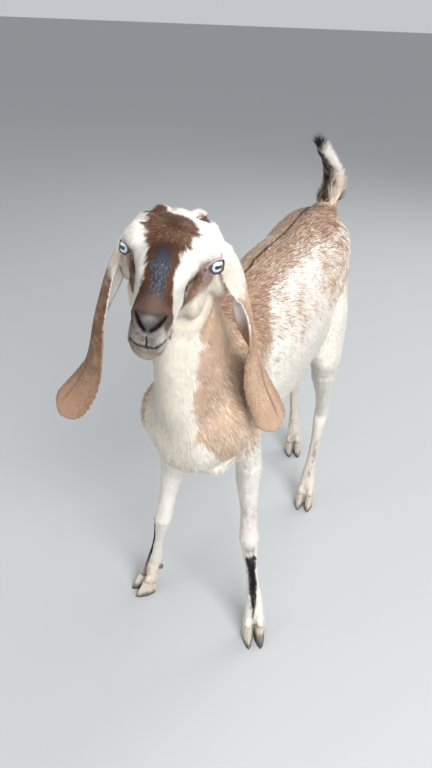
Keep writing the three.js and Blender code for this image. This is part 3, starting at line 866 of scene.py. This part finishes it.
def paintTail(colour, place, region, normals, grain):
    x, z = place[:, [0, 2]].T
    rough = noise(place * (1, 1, 0.3), 5, 1) - 0.5
    isTail = inRegion(region, "tail")
    middle = np.interp(z, tailEdge["heights"], tailEdge["lefts"])
    dark = fade(x - middle + 8 * rough, -3, 3)
    dark = dark * ramp(0.4 * rough - normals[:, 1], 0, 0.4) * ramp(z + 8 * rough, 664, 678)
    base = isTail * ramp(z, 650, 668)
    paint(colour, "white", base * 0.9)
    paint(colour, "beige", base * fade(z, 700, 760) * 0.7)
    paint(colour, "darkBrown", isTail * dark * (0.8 + 0.2 * (grain > 0.25)))
    paint(colour, "white", 0.6 * isTail * dark * (grain > 0.86))
    paint(colour, "black", isTail * ramp(z - 0.7 * (x - middle) + 10 * rough, 782, 794))


def paintLegs(colour, place, region):
    rough = noise(place * (1, 1, 0.35), 5, 2) - 0.5
    speck = noise(place * (1, 1, 0.4), 3.2, 5)
    for foot in feet:
        end, side = foot.split("_")
        upper = "forearm" if end == "fore" else "shank"
        mine = inRegion(region, f"{end}_cannon_{side}", f"{end}_foot_{side}", f"{upper}_{side}")
        out, ahead, z = legPlaces(place, foot)
        facing = ramp(ahead, 2, 8)
        if foot == "fore_left":
            middle = np.interp(z, (60, 85, 105, 150, 190), (-4, -2, -1, 0, -1))
            half = np.interp(z, (40, 70, 88, 110, 160, 188, 198), (0.8, 1.8, 4, 7, 7, 10.5, 6))
            mark = fade(np.abs(out - middle) + 3 * rough, half - 1.2, half + 1.2)
            mark = mark * facing * fade(z + 10 * rough, 193, 202)
            paint(colour, "black", mine * mark)
            knee = facing * bump(z, 210, 9) * (np.abs(out) < 9)
            paint(colour, "slate", mine * 0.55 * knee * ramp(speck, 0.4, 0.6))
            paint(colour, "mauve", mine * 0.5 * bump(z, 292, 30) * ramp(speck, 0.35, 0.7) * facing)
            paint(colour, "tan", mine * 0.45 * ramp(z, 395, 450) * (0.6 + rough))
        elif foot == "fore_right":
            middle = np.interp(z, (20, 66, 107, 150, 205), (7, 4, 3, 4, 5))
            mark = fade(np.abs(out - middle) + 2.5 * rough, 4, 6) * ramp(ahead, -4, 2)
            paint(colour, "black", mine * mark * fade(z + 12 * rough, 205, 232))
            paint(colour, "pink", mine * 0.5 * bump(z, 62, 22))
        else:
            middle = 2 if foot == "hind_left" else 8
            mark = fade(np.abs(out - middle) + 2 * rough, 2.5, 6) * facing * ramp(speck, 0.42, 0.6)
            paint(colour, "darkBrown", mine * 0.62 * mark * fade(z, 160, 185) * ramp(z, 30, 50))
            paint(colour, "beige", mine * 0.4 * fade(z, 190, 260) * (0.7 + rough))
        low = mine * fade(z, 30, 55)
        paint(colour, "cream", 0.5 * low)


blazeEdges = {  # to the animal's left, in the head's own millimetres, at so many millimetres forward
    "forward": (-45, -25, -18, 5, 26, 45, 59, 72, 85, 94, 100, 110),
    "rightSide": (-29, -30, -30, -30, -22, -19, -17, -15, -15, -17, -21, -24),
    "leftSide": (-16, -8, 14, 28, 21, 17, 16, 14, 15, 17, 19, 22),
}


def paintHead(colour, place, region, grain):
    isHead = inRegion(region, "head", "lower_jaw").astype(float)
    head = toHead(place * mm)
    folded = mirrored(head)
    s, u, w = head.T
    rough = noise(head, 4.5, 6) - 0.5
    fine = noise(head, 2, 9) - 0.5
    lump = noise(head, 13, 4) - 0.5
    # the white head, cream below, tan on the cheeks
    base = np.broadcast_to(coatColours["white"], colour.shape).copy()
    below = ramp(-w, 22, 48) * fade(u, 96, 116)
    paint(base, "cream", 0.7 * below)
    lineHeight = np.interp(u, (0, 27, 45, 60, 75), (-12, -4, -9, -15, -34))
    under = lineHeight - w
    beside = ramp(np.abs(s), 18, 24)
    cheek = ramp(under, 0, 5) * fade(under + 8 * rough, 14, 40) * fade(u, 60, 80)
    cheek = cheek * beside * ramp(u, -24, -6)
    paint(base, "tan", 0.9 * cheek)
    onRight = ramp(-s, 0, 10)
    patch = bump(under, 8 + 7 * onRight, 12 + 8 * onRight) * ramp(u, 0, 16)
    patch = patch * fade(u, 58 + 22 * onRight, 72 + 22 * onRight)
    paint(base, "fawn", 0.5 * cheek)
    paint(base, "fawn", 0.9 * patch * beside)
    paint(base, "chestnut", (0.5 + 0.3 * onRight + 0.9 * rough) * patch * beside)
    paint(base, "fawn", 0.85 * ramp(-u + 10 * lump, 52, 66) * ramp(w, -60, -30))
    # the dark line under the white band
    line = alongLine(folded, [(41, 21, -4), (35, 36, -7), (29, 54, -8), (27, 66, -14), (27, 65, -26)])[0]
    paint(base, "darkBrown", 0.95 * fade(line + 3 * rough, 2, 5) * ramp(u, 20, 32))
    # the brown blaze
    right = np.interp(u, blazeEdges["forward"], blazeEdges["rightSide"])
    left = np.interp(u, blazeEdges["forward"], blazeEdges["leftSide"])
    inside = np.minimum(s - right, left - s)
    jag = 9 * rough + 5 * fine + 4 * (grain - 0.5)
    blaze = ramp(inside + jag * (1 - 0.6 * ramp(u, 30, 60)), -1.5, 1.5) * ramp(w, -40, -25)
    top = np.interp(s, (-36, -24, -15, -8, 14), (-60, -60, -50, -44, -44))
    blaze = blaze * ramp(u + jag - top, -3, 2) * fade(u, 122, 126)
    brown = np.broadcast_to(coatColours["chestnut"], colour.shape).copy()
    paint(brown, "tan", 0.35 * ramp(np.sin(grain * 40) + lump, 0.35, 0.9) * fade(u, 30, 50))
    paint(brown, "darkBrown", 0.75 * bump(s, 5, 16) * bump(u, 2, 18) * ramp(grain + rough, 0.2, 0.7))
    paint(brown, "darkBrown", 0.5 * ramp(np.sin(grain * 57) + fine, 0.3, 0.8))
    nasal = 0.3 * bump(u, 88, 14) * ramp(-s, 8, 14)
    paint(brown, "darkBrown", 0.85 * bump(u, 44, 11) * bump(s, -1, 15) + nasal)
    half = np.interp(u, (46, 58, 68, 90, 104, 116), (1, 8, 9, 7.5, 8, 3))
    off = np.abs(s - np.interp(u, (50, 114), (-1, 1))) + 5 * rough + 4 * (grain - 0.5)
    stripe = fade(off, half - 2.5, half + 2.5)
    stripe = stripe * ramp(u + 8 * rough, 46, 56) * fade(u + 10 * rough + 8 * (grain - 0.5), 102, 116)
    paint(brown, "slate", 0.95 * stripe)
    paint(brown, "black", 0.5 * stripe * strands(grain, 61, 0.2, 0.8))
    paint(brown, "silver", 0.5 * stripe * strands(grain, 97, 0.65, 0.9) * ramp(u, 52, 75))
    paint(brown, "noseFawn", ramp(u + 4 * rough, 98, 112))
    blaze = np.maximum(blaze, fade(farFrom(head, (-25, -45, 21)) + jag, 11, 14))
    base += (brown - base) * blaze[:, None]
    # nose pad and lips
    lips = ramp(u, 112, 126) * ramp(-w, 12, 22) * fade(-w, 54, 62)
    paint(base, "lip", lips * (0.9 + 0.2 * fine - 0.35 * ramp(s, 4, 20)))
    # the chin: partly its own beige, partly painted shade under the jaw, greyed with the lip colour
    chin = ramp(u, 70, 100) * ramp(-w, 46, 52) * (1 - lips * 0.5)
    paint(base, "beige", 0.75 * chin)
    paint(base, "lip", 0.45 * chin * (0.8 + fine))
    paint(base, "noseGrey", padShare(head) * (0.85 + 0.3 * lump))
    slit, along = alongLine(folded, faceLines["nostril"])
    cleft = lineFar(head, "philtrum")
    mouth = lineFar(head, "mouth")
    paint(base, "noseGrey", 0.6 * fade(slit, 3, 5.5) * isHead)
    # painted shade: black and dark brown laid into the nostril slits, the philtrum's cleft and the mouth line
    black = np.interp(along, (0, 0.5, 1), (1.2, 2.0, 1.5))
    paint(base, "black", fade(slit, black, black + 0.6))
    paint(base, "black", 0.9 * fade(cleft, 0.6, 1.4) * ramp(-w, 30, 36))
    paint(base, "darkBrown", fade(mouth, 1.0, 2.0))
    paint(base, "noseGrey", 0.5 * fade(mouth, 2, 4))
    corner = alongLine(head, [(21, 112, -39), (25, 92, -39)])[0]
    paint(base, "fawn", 0.9 * fade(corner + 5 * rough, 3.5, 7))
    paint(base, "darkBrown", 0.7 * fade(corner + 4 * rough, 1.2, 3))
    paint(base, "fawn", 0.6 * fade(farFrom(head, (15, 126, -52)) + 4 * rough, 3, 6))
    paint(base, "chestnut", fade(farFrom(head, (27, -41, 20)) + 8 * rough + 4 * fine, 6.5, 9))
    # round the eyes
    for middle in eyeMiddles.values():
        far = farFrom(place, middle / mm)
        paint(base, "mauve", 0.75 * fade(far + 9 * rough + 5 * lump, 17, 25) * fade(w, -2, 8))
    for sign in (1, -1):
        out = eyeOpening(head, sign)[0]
        paint(base, "darkBrown", 0.9 * fade(out, 1.12, 1.3) * (s * sign > 0))
        # painted shade in the creases above and below the lids
        paint(base, "darkBrown", 0.35 * bump(out, 1.5, 0.12) * (s * sign > 0))
    paint(base, "darkBrown", 0.6 * fade(lineFar(folded, "tear"), 0.8, 2.6))
    colour += (base - colour) * isHead[:, None]


earBrown = {"left": 0.25, "right": 0.2}  # how far down each ear its brown begins


def paintEars(colour, place, region, normals, grain):
    head = toHead(place * mm)
    rough = noise(head, 6, 3) - 0.5
    lump = noise(head * (1, 1, 0.4), 16, 5) - 0.5
    for side, line in earLines.items():
        along = alongLine(head, line)[1]
        steps = np.linspace(0, 1, len(line))
        outwards = unit(between(along, steps, earFaces[side]))
        middle = between(along, steps, line)
        tangent = unit(between(along, steps, unit(np.gradient(line, axis=0))))
        v = (np.cross(tangent, outwards) * (head - middle)).sum(1) / 20
        v = v if side == "right" else -v
        outer = (outwards * (normals @ headBasis)).sum(1)
        inner = fade(outer + 0.2 * rough, -0.2, 0.15)
        starts = earBrown[side]
        brown = ramp(along + 0.08 * rough - 0.05 * v, starts, starts + 0.08)
        ear = np.broadcast_to(coatColours["white"], colour.shape).copy()
        paint(ear, "beige", (0.3 + 0.3 * ramp(-v, 0, 0.8) + 0.6 * (lump + rough)) * ramp(along, 0, 0.06))
        paint(ear, "lip", 0.2 + 0.2 * strands(grain, 29, 0.4, 0.9))
        paint(ear, "earTan", brown * (0.9 + 0.2 * lump))
        # painted light: the left ear's brown is lightened with beige, as on a lit ear
        paint(ear, "beige", 0.4 * brown * (side == "left"))
        edge = ramp(np.abs(v), 0.55, 0.95)
        paint(ear, "fawn", brown * (0.2 + 0.5 * edge + 0.5 * lump) * fade(along, 0.8, 0.92))
        paint(ear, "beige", 0.4 * brown * strands(grain, 33, 0.2, 0.9))
        paint(ear, "chestnut", 0.45 * brown * strands(grain, 47, 0.3, 0.9))
        paint(ear, "earTip", ramp(along + 0.1 * lump, 0.76, 0.9) * 0.7)
        paint(ear, "chestnut", 0.3 * ramp(along, 0.7, 0.95) * ramp(edge + 0.8 * rough, 0.6, 1))
        vein = bump(v * 20 + 3 * lump + 3 * np.sin(along * 9), -5, 1.3) * ramp(along, 0.35, 0.5)
        paint(ear, "chestnut", 0.6 * vein * fade(along, 0.85, 0.93) * ramp(outer, 0, 0.5))
        # the right ear: partly its own darker brown, partly painted shade
        if side == "right":
            paint(ear, "chestnut", (0.55 + 0.5 * rough) * brown * fade(along, 0.6, 0.85))
            paint(ear, "fawn", 0.45 * ramp(along, 0.7, 0.85))
        # the inner face: its own pale pink, lightened as painted light in its shaded trough
        paint(ear, "innerEar", inner * 0.97)
        paint(ear, "earTan", inner * ramp(along + 0.15 * lump, 0.42, 0.56))
        # painted shade along one edge of each ear
        paint(ear, "chestnut", 0.5 * ramp(-v, 0.7, 0.95) * bump(along, 0.4, 0.16))
        colour += (ear - colour) * inRegion(region, f"ear_{side}")[:, None]


def coatColour(points, region, normals, grain):
    # The coat's colour at each point. The grain, from 0 to 1, says how each tuft falls between two colours.
    place = points / mm
    colour = np.broadcast_to(coatColours["white"], (len(points), 3)).copy()
    paintBody(colour, place, region, normals, grain)
    paintTail(colour, place, region, normals, grain)
    legs = inRegion(region, "fore", "hind", "shank")
    colour[legs] = coatColours["white"]
    paintLegs(colour, place, region)
    paintHead(colour, place, region, grain)
    paintEars(colour, place, region, normals, grain)
    return np.clip(colour * (0.93 + 0.14 * grain[:, None]), 0.002, 1)


def tailMiddle(z):
    return np.interp(z, (655, 684, 712, 742, 768, 790, 805), (2, 6, 9, 7, 0, -10, -18))


whorl = (5, 1, 27)  # where the hair of the face parts, in the head's millimetres


def flow(points, region, normals):
    # Which way the hair lies at each point.
    x, y, z = (points / mm).T
    side = np.tanh((x - bodyMiddle) / 40)
    down = ramp(-z, -690, -560)
    way = toRows(0.25 * side, 1 - 0.35 * down, -0.1 - 0.55 * down)
    neck = ramp(-y, 110, 200)[:, None]
    way = way * (1 - neck) + neck * toRows(0.2 * side, 0.35, -1.0)
    rump = ramp(y, 180, 260)[:, None]
    way = way * (1 - rump) + rump * toRows(0.4 * side, 0.5, -1.0)
    spread = 0.3 * np.tanh((x - tailMiddle(z)) / 5) - 0.12
    head = toHead(points)
    cheek = ramp(-head[:, 2], 8, 30)[:, None]
    inHead = unit(head - np.array(whorl)) * (1 - cheek) + cheek * np.array([0, -0.55, -0.8])
    ways = [(("fore", "hind", "shank"), (0, 0.15, -1)), (("thigh",), (0, 0.45, -1)),
            (("tail",), toRows(spread, 0.1, 1.0)), (("head", "lower_jaw"), inHead @ headBasis.T)]
    for name, line in earLines.items():
        stretch = np.diff(line, axis=0)
        along = alongLine(head, line)[1]
        steps = unit(stretch)[np.minimum((along * len(stretch)).astype(int), len(stretch) - 1)]
        ways.append(((f"ear_{name}",), steps @ headBasis.T))
    for starts, own in ways:
        way = np.where(inRegion(region, *starts)[:, None], own, way)
    return unit(way - normals * (way * normals).sum(1, keepdims=True))


def fastMesh(name, points, faces):
    mesh = bpy.data.meshes.new(name)
    mesh.vertices.add(len(points))
    mesh.vertices.foreach_set("co", np.asarray(points, np.float32).ravel())
    mesh.loops.add(len(faces) * 3)
    mesh.loops.foreach_set("vertex_index", np.asarray(faces, np.int32).ravel())
    mesh.polygons.add(len(faces))
    mesh.polygons.foreach_set("loop_start", np.arange(len(faces), dtype=np.int32) * 3)
    mesh.polygons.foreach_set("loop_total", np.full(len(faces), 3, np.int32))
    mesh.update(calc_edges=True)
    return mesh


def unwrapped(mesh):
    # Unwraps a mesh into its OFBake map, and gives that map's place for each corner.
    holder = newObject("unwrap", mesh)
    mesh.uv_layers.new(name="OFBake")
    bpy.context.view_layer.objects.active = holder
    holder.select_set(True)
    bpy.ops.object.mode_set(mode="EDIT")
    bpy.ops.mesh.select_all(action="SELECT")
    bpy.ops.uv.smart_project(angle_limit=math.radians(66), island_margin=0.002)
    bpy.ops.object.mode_set(mode="OBJECT")
    found = readAll(mesh.uv_layers["OFBake"].data, "uv", np.float32, 2)
    bpy.data.objects.remove(holder)
    return found


tuftShape = {  # each tuft is a thin closed spike: the two sides of its root, its belly, then its tip
    "corners": [(0, 1, 2), (3, 2, 1), (3, 0, 2), (3, 1, 0)],
    "patch": [(-0.5, 0.5), (-0.5, -0.5), (-0.2, 0), (0.5, 0)],  # the same corners on the map
    "patchSize": 0.003,
    # painted shade and highlight: each tuft's colour is darkened at the two sides of its root and lightened
    # at its tip
    "shade": (0.8, 0.8, 0.95, 1.08),
    "thickness": 0.4,  # how high its belly stands, for its width
    "belly": 0.12,  # how far along its length the belly is
    "sunk": 0.25,  # how deep its root sits, for its width
    "bend": 0.45,  # how far its sides turn from the light
}
firstSeed = 100


def tufts(name, faces, region, spec, seed):
    # Scatters tufts over some of the skin's faces. The spec says how many, how large and how they lie.
    rng = np.random.default_rng(seed)
    used, faces = np.unique(faces, return_inverse=True)
    faces = faces.reshape(-1, 3)
    part = fastMesh(name + "Part", skinPoints[used], faces)
    uvs = unwrapped(part).reshape(-1, 3, 2)
    corners = skinPoints[used][faces]
    area = np.linalg.norm(np.cross(corners[:, 1] - corners[:, 0], corners[:, 2] - corners[:, 0]), axis=1)
    weight = area * skinNeeds[used][faces].mean(1)
    count = spec["count"]
    picked = rng.choice(len(faces), count, p=weight / weight.sum())
    a, b = rng.random((2, count))
    a, b = np.where(a + b > 1, (1 - a, 1 - b), (a, b))
    mix = np.stack([1 - a - b, a, b], 1)[:, :, None]
    roots = (corners[picked] * mix).sum(1)
    normals = unit((skinNormals[used][faces][picked] * mix).sum(1))
    rootUvs = (uvs[picked] * mix).sum(1)
    owner = region[used][faces][picked, 0]
    grain = np.clip(rng.random(count) * 0.8 + 0.4 * (noise(roots, 6 * mm) - 0.25), 0, 1)
    ways = flow(roots, owner, normals)
    across = np.cross(normals, ways)
    swing = rng.normal(0, spec["swing"], count)[:, None] + 0.5 * (noise(roots, 22 * mm, 5)[:, None] - 0.5)
    ways = unit(ways + across * swing)
    across = np.cross(normals, ways)
    size = spec["length"] * mm * (0.65 + 0.7 * rng.random(count))[:, None]
    wide = spec["width"] * mm * (0.7 + 0.6 * rng.random(count))[:, None]
    if "lengthAt" in spec:
        size = size * spec["lengthAt"](roots)[:, None]
    lift = np.radians(spec["lift"] * (0.5 + rng.random(count)))[:, None]
    if "liftAt" in spec:
        lift = lift + np.radians(spec["liftAt"](roots))[:, None]
    rise = ways * np.cos(lift) + normals * np.sin(lift)
    tip = roots + rise * size
    sunk = roots - normals * tuftShape["sunk"] * wide
    belly = roots + rise * size * tuftShape["belly"] + normals * wide * tuftShape["thickness"]
    points = np.stack([sunk + across * wide / 2, sunk - across * wide / 2, belly, tip], 1).reshape(-1, 3)
    starts = np.arange(count)[:, None, None] * 4
    triangles = (starts + np.array(tuftShape["corners"])[None]).reshape(-1, 3)
    mesh = fastMesh(name, points, triangles)
    colour = coatColour(roots, owner, normals, grain)
    # painted shade at each tuft's root and a painted highlight at its tip
    shade = np.array(tuftShape["shade"])[None, :, None]
    layColour(mesh, np.clip(colour[:, None] * shade, 0, 1).reshape(-1, 3))
    patches = rootUvs[:, None] + np.array(tuftShape["patch"]) * tuftShape["patchSize"]
    patches = patches[:, np.array(tuftShape["corners"])].reshape(-1, 2)
    mesh.uv_layers.new(name="OFBake")
    mesh.uv_layers["OFBake"].data.foreach_set("uv", np.clip(patches, 0, 1).astype(np.float32).ravel())
    mesh.shade_smooth()
    lying = unit(normals + rise * 0.2)
    aside = across * tuftShape["bend"]
    soft = np.stack([unit(lying + aside), unit(lying - aside), lying, lying], 1)
    mesh.normals_split_custom_set_from_vertices(soft.reshape(-1, 3).tolist())
    made = newObject(name, mesh)
    mesh.materials.append(coatMaterial)
    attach(made, "root")
    print("coat piece", name, len(triangles))


def tailEdges(points):
    x, z = (points[:, [0, 2]] / mm).T
    return ramp(np.abs(x - tailMiddle(z)), 6, 16)


def tailLift(points):
    return 11 * tailEdges(points)


def tailLength(points):
    # Longest low down and along both edges, shortest above its middle.
    size = np.interp(points[:, 2] / mm, (670, 690, 720, 750, 775, 800), (0.8, 1.1, 0.85, 0.55, 0.5, 0.8))
    return size * (1 + 0.3 * tailEdges(points))


def coronetLength(points):
    # Longer just above the hooves, so that it hangs over them.
    return 1 + 0.7 * fade(points[:, 2] / mm, 48, 66)


def earLength(points):
    # Shortest round the tips.
    head = toHead(points)
    left, right = (1 - 0.45 * ramp(alongLine(head, line)[1], 0.85, 0.95) for line in earLines.values())
    return np.where(head[:, 0] > 0, left, right)


def legLength(points):
    # A fringe down the inner side of each leg's upper half.
    x, z = (points[:, [0, 2]] / mm).T
    inner = np.where(x > 0, 78 - x, x + 78)
    return (1 + 1.3 * ramp(z, 320, 380) * ramp(inner, -10, 10)) * coronetLength(points)


def bodyLift(points):
    return 5 * ramp(-points[:, 1] / mm, 200, 260)


def eyesFar(points):
    return np.min([farFrom(points, middle) for middle in eyeMiddles.values()], axis=0) / mm


def headLength(points):
    # Short on the lips and round the eyes, longest on the poll.
    head = toHead(points)
    size = 1 - 0.62 * ramp(head[:, 1], 92, 116) + 0.5 * ramp(-head[:, 1], 25, 50) * ramp(head[:, 2], 0, 20)
    return size * (0.45 + 0.55 * ramp(eyesFar(points), 16, 28))


trunkCoat = {"of": ("trunk",), "slot": "body_coat", "count": 45000, "length": 12, "width": 1.25, "lift": 7,
             "swing": 0.14, "liftAt": bodyLift}
headCoat = {"of": ("head", "lower_jaw"), "slot": "face_coat", "count": 44000, "length": 5.5, "width": 0.7,
            "lift": 8, "swing": 0.2, "lengthAt": headLength}
legCoat = {"slot": "leg_coat", "count": 33000, "length": 7, "width": 0.9, "lift": 6, "swing": 0.16,
           "lengthAt": legLength}
# Lengths and widths in millimetres and lift in degrees. Side and half are 1 for its left, -1 for its right.
coatPieces = {
    "coatLeft": {**trunkCoat, "side": 1},
    "coatRight": {**trunkCoat, "side": -1},
    "coatNeck": {"of": ("neck",), "slot": "body_coat", "count": 40000, "length": 11, "width": 1.15, "lift": 7,
                 "swing": 0.14},
    "coatThighs": {"of": ("thigh",), "slot": "body_coat", "count": 34000, "length": 10, "width": 1.2,
                   "lift": 6, "swing": 0.12},
    "coatHeadLeft": {**headCoat, "half": 1},
    "coatHeadRight": {**headCoat, "half": -1},
    "coatEars": {"of": ("ear",), "slot": "ear_coat", "count": 42000, "length": 3.6, "width": 0.6, "lift": 3,
                 "swing": 0.12, "lengthAt": earLength},
    "coatForelegs": {**legCoat, "of": ("fore",)},
    "coatHindlegs": {**legCoat, "of": ("hind", "shank")},
    "coatTail": {"of": ("tail",), "slot": "tail_coat", "count": 14000, "length": 20, "width": 1.0, "lift": 9,
                 "swing": 0.3, "liftAt": tailLift, "lengthAt": tailLength},
}


def tuftNeeds(points, onFace):
    # How thickly the tufts grow: hardly any on the lids, the nose pad and the edges of nostrils and lips.
    head = toHead(points)
    needs = ramp(eyesFar(points), 16, 20)
    needs *= (1 - padShare(head) * onFace) * (1 + 0.6 * onFace * ramp(head[:, 1], 60, 110))
    needs *= np.where(onFace, ramp(lineFar(mirrored(head), "nostril"), 4.5, 6.5), 1)
    needs *= np.where(onFace, ramp(muzzleLines(head), 1.6, 2.6), 1)
    return np.maximum(needs, 1e-4)


coatMaterial = grained("coatHair")
skinPoints = pointsOf(skinMesh)
skinNormals = normalsOf(skinMesh)
skinFaces = trianglesOf(skinMesh)
skinRegion = np.array([fleshNames.index(n) for n in nearestNodes(skinPoints)])
skinNeeds = tuftNeeds(skinPoints, inRegion(skinRegion, "head", "lower_jaw"))

skinShade = 0.86  # painted shade: how dark the skin is made beside the tufts that grow from it
skinGrain = np.clip(0.5 + 0.9 * (noise(skinPoints, 3 * mm, 2) - 0.5), 0, 1)
# the skin takes the coat's colour, darkened as painted shade between the tufts
layColour(skinMesh, coatColour(flatPoints, skinRegion, skinNormals, skinGrain) * skinShade)
skinMesh.materials.clear()
skinMesh.materials.append(grained("skinHair"))

for index, (name, spec) in enumerate(coatPieces.items()):
    chosen = inRegion(skinRegion, *spec["of"])[skinFaces[:, 0]]
    middles = skinPoints[skinFaces].mean(1)
    if "side" in spec:
        chosen &= (middles[:, 0] / mm - spineAt(middles[:, 1] / mm)) * spec["side"] > 0
    if "half" in spec:
        chosen &= toHead(middles)[:, 0] * spec["half"] > 0
    tufts(name, skinFaces[chosen], skinRegion, spec, firstSeed + index)


wetEye = grained("eyeWet")
for name, sign in (("left", 1), ("right", -1)):
    ballMesh = eyeball(f"eyeball_{name}", sign)
    ball = newObject(f"eyeball_{name}", ballMesh)
    layColour(ballMesh, eyeColour(pointsOf(ballMesh), sign))
    ballMesh.materials.append(wetEye)
    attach(ball, "root")
    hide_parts(f"eye_{name}")
print("eyes:", len(eyeMiddles))


hoofShape = {"cut": 2, "voxel": 0.7 * mm, "smooth": 45, "ring": 0.1, "ringStep": 3.2}
hoofDark = {  # how high the dark of each claw or dewclaw reaches, in millimetres
    "fore_left_claw_outer": 17, "fore_right_claw_outer": 8, "fore_right_claw_inner": 7, "claw": 6,
    "fore_right_dewclaw": 90, "dewclaw": 40,
}
hoofColours = {"horn": linear(186, 176, 160), "dark": linear(52, 48, 46), "grey": linear(120, 112, 104)}


def hornColour(points, node):
    # Pale horn with a dark worn rim, darker on the outer claw of the left fore foot and on the dewclaws.
    z = points[:, 2] / mm
    rough = noise(points / mm * (1, 1, 0.4), 4, 7) - 0.5
    colour = np.broadcast_to(hoofColours["horn"], points.shape).copy()
    kind = node.split("_")[2]
    darkTop = next(top for name, top in hoofDark.items() if node.startswith(name) or kind == name)
    grey = fade(z + 9 * rough, darkTop, darkTop + 8)
    dark = fade(z + 6 * rough, 0.3 * darkTop, darkTop)
    colour += (hoofColours["grey"] - colour) * grey[:, None]
    colour += (hoofColours["dark"] - colour) * (0.85 * dark)[:, None]
    return colour


def horn(node):
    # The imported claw, cut finer and rounded, with growth rings. Its sole stays where it is.
    work = bmesh.new()
    work.from_mesh(nodes[node].data)
    bmesh.ops.remove_doubles(work, verts=work.verts, dist=1e-5)
    bmesh.ops.subdivide_edges(work, edges=work.edges[:], cuts=hoofShape["cut"], use_grid_fill=True)
    mesh = bpy.data.meshes.new(node + "_horn")
    work.to_mesh(mesh)
    work.free()
    mesh = modified(mesh, "REMESH", mode="VOXEL", voxel_size=hoofShape["voxel"])
    points = pointsOf(mesh)
    lowest = points[:, 2].min()
    free = ramp(points[:, 2] - lowest, 0.4 * mm, 2.5 * mm)
    points = smoothed(points, edgesOf(mesh), 0.5 * free, hoofShape["smooth"])
    setPoints(mesh, points)
    ring = np.sin(points[:, 2] / mm / hoofShape["ringStep"] * 2 * np.pi + 5 * noise(points / mm, 7)) * free
    points += normalsOf(mesh) * (hoofShape["ring"] * ring)[:, None] * mm
    setPoints(mesh, points)
    layColour(mesh, hornColour(points, node))
    mesh.shade_smooth()
    mesh.materials.clear()
    mesh.materials.append(hornMaterial)
    made = newObject(mesh.name, mesh)
    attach(made, "root")
    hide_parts(node)
    return len(mesh.polygons)


hornMaterial = grained("horn")
print("hooves:", sum(horn(node) for node in nodes if "claw" in node))


def plainMaterial(name, colour, roughness):
    material = bpy.data.materials.new(name)
    material.use_nodes = True
    shader = material.node_tree.nodes["Principled BSDF"]
    shader.inputs["Base Color"].default_value = (*colour, 1)
    shader.inputs["Roughness"].default_value = roughness
    return material


cameraPlace = {"at": (0.326, -0.829, 1.0), "heading": (-0.3556, 0.7627, -0.5402), "roll": 1.8, "lens": 27.09,
               "sensor": 36}


def setCamera():
    data = bpy.data.cameras.new("camera")
    data.lens = cameraPlace["lens"]
    data.sensor_width = cameraPlace["sensor"]
    camera = newObject("camera", data)
    forward = Vector(cameraPlace["heading"]).normalized()
    right = forward.cross(Vector((0, 0, 1))).normalized()
    up = right.cross(forward)
    turned = Matrix((right, up, -forward)).transposed().to_4x4()
    roll = Matrix.Rotation(math.radians(cameraPlace["roll"]), 4, "Z")
    camera.matrix_world = Matrix.Translation(cameraPlace["at"]) @ (turned @ roll)
    bpy.context.scene.camera = camera


studio = {
    "floorHalf": 60, "floorColour": (0.44, 0.45, 0.45), "floorRoughness": 0.85,
    "sky": (0.92, 0.95, 1, 1), "skyStrength": 0.6, "aim": (0, 0, 0.5),
    "lights": {  # where each stands, its size in metres and its power in watts
        "key": ((1.8, -1.6, 2.2), 1.8, 120),
        "fill": ((-1.6, -1.8, 1.2), 1.8, 12),
        "back": ((0.6, 2.2, 2.4), 1.6, 40),
    },
}


def setStudio():
    half = studio["floorHalf"]
    corners = [(-half, -half, 0), (half, -half, 0), (half, half, 0), (-half, half, 0)]
    floor = newObject("floor", meshFrom("floor", corners, [(0, 1, 2, 3)]))
    floor.data.materials.append(plainMaterial("paleFloor", studio["floorColour"], studio["floorRoughness"]))
    world = bpy.data.worlds.new("studio")
    bpy.context.scene.world = world
    world.use_nodes = True
    sky = world.node_tree.nodes["Background"]
    sky.inputs["Color"].default_value = studio["sky"]
    sky.inputs["Strength"].default_value = studio["skyStrength"]
    bpy.context.scene.view_settings.view_transform = "Standard"
    for name, (at, size, power) in studio["lights"].items():
        light = bpy.data.lights.new(name, "AREA")
        light.size = size
        light.energy = power
        holder = newObject(name, light)
        holder.location = at
        holder.rotation_euler = (Vector(studio["aim"]) - Vector(at)).to_track_quat("-Z", "Y").to_euler()


setCamera()
setStudio()
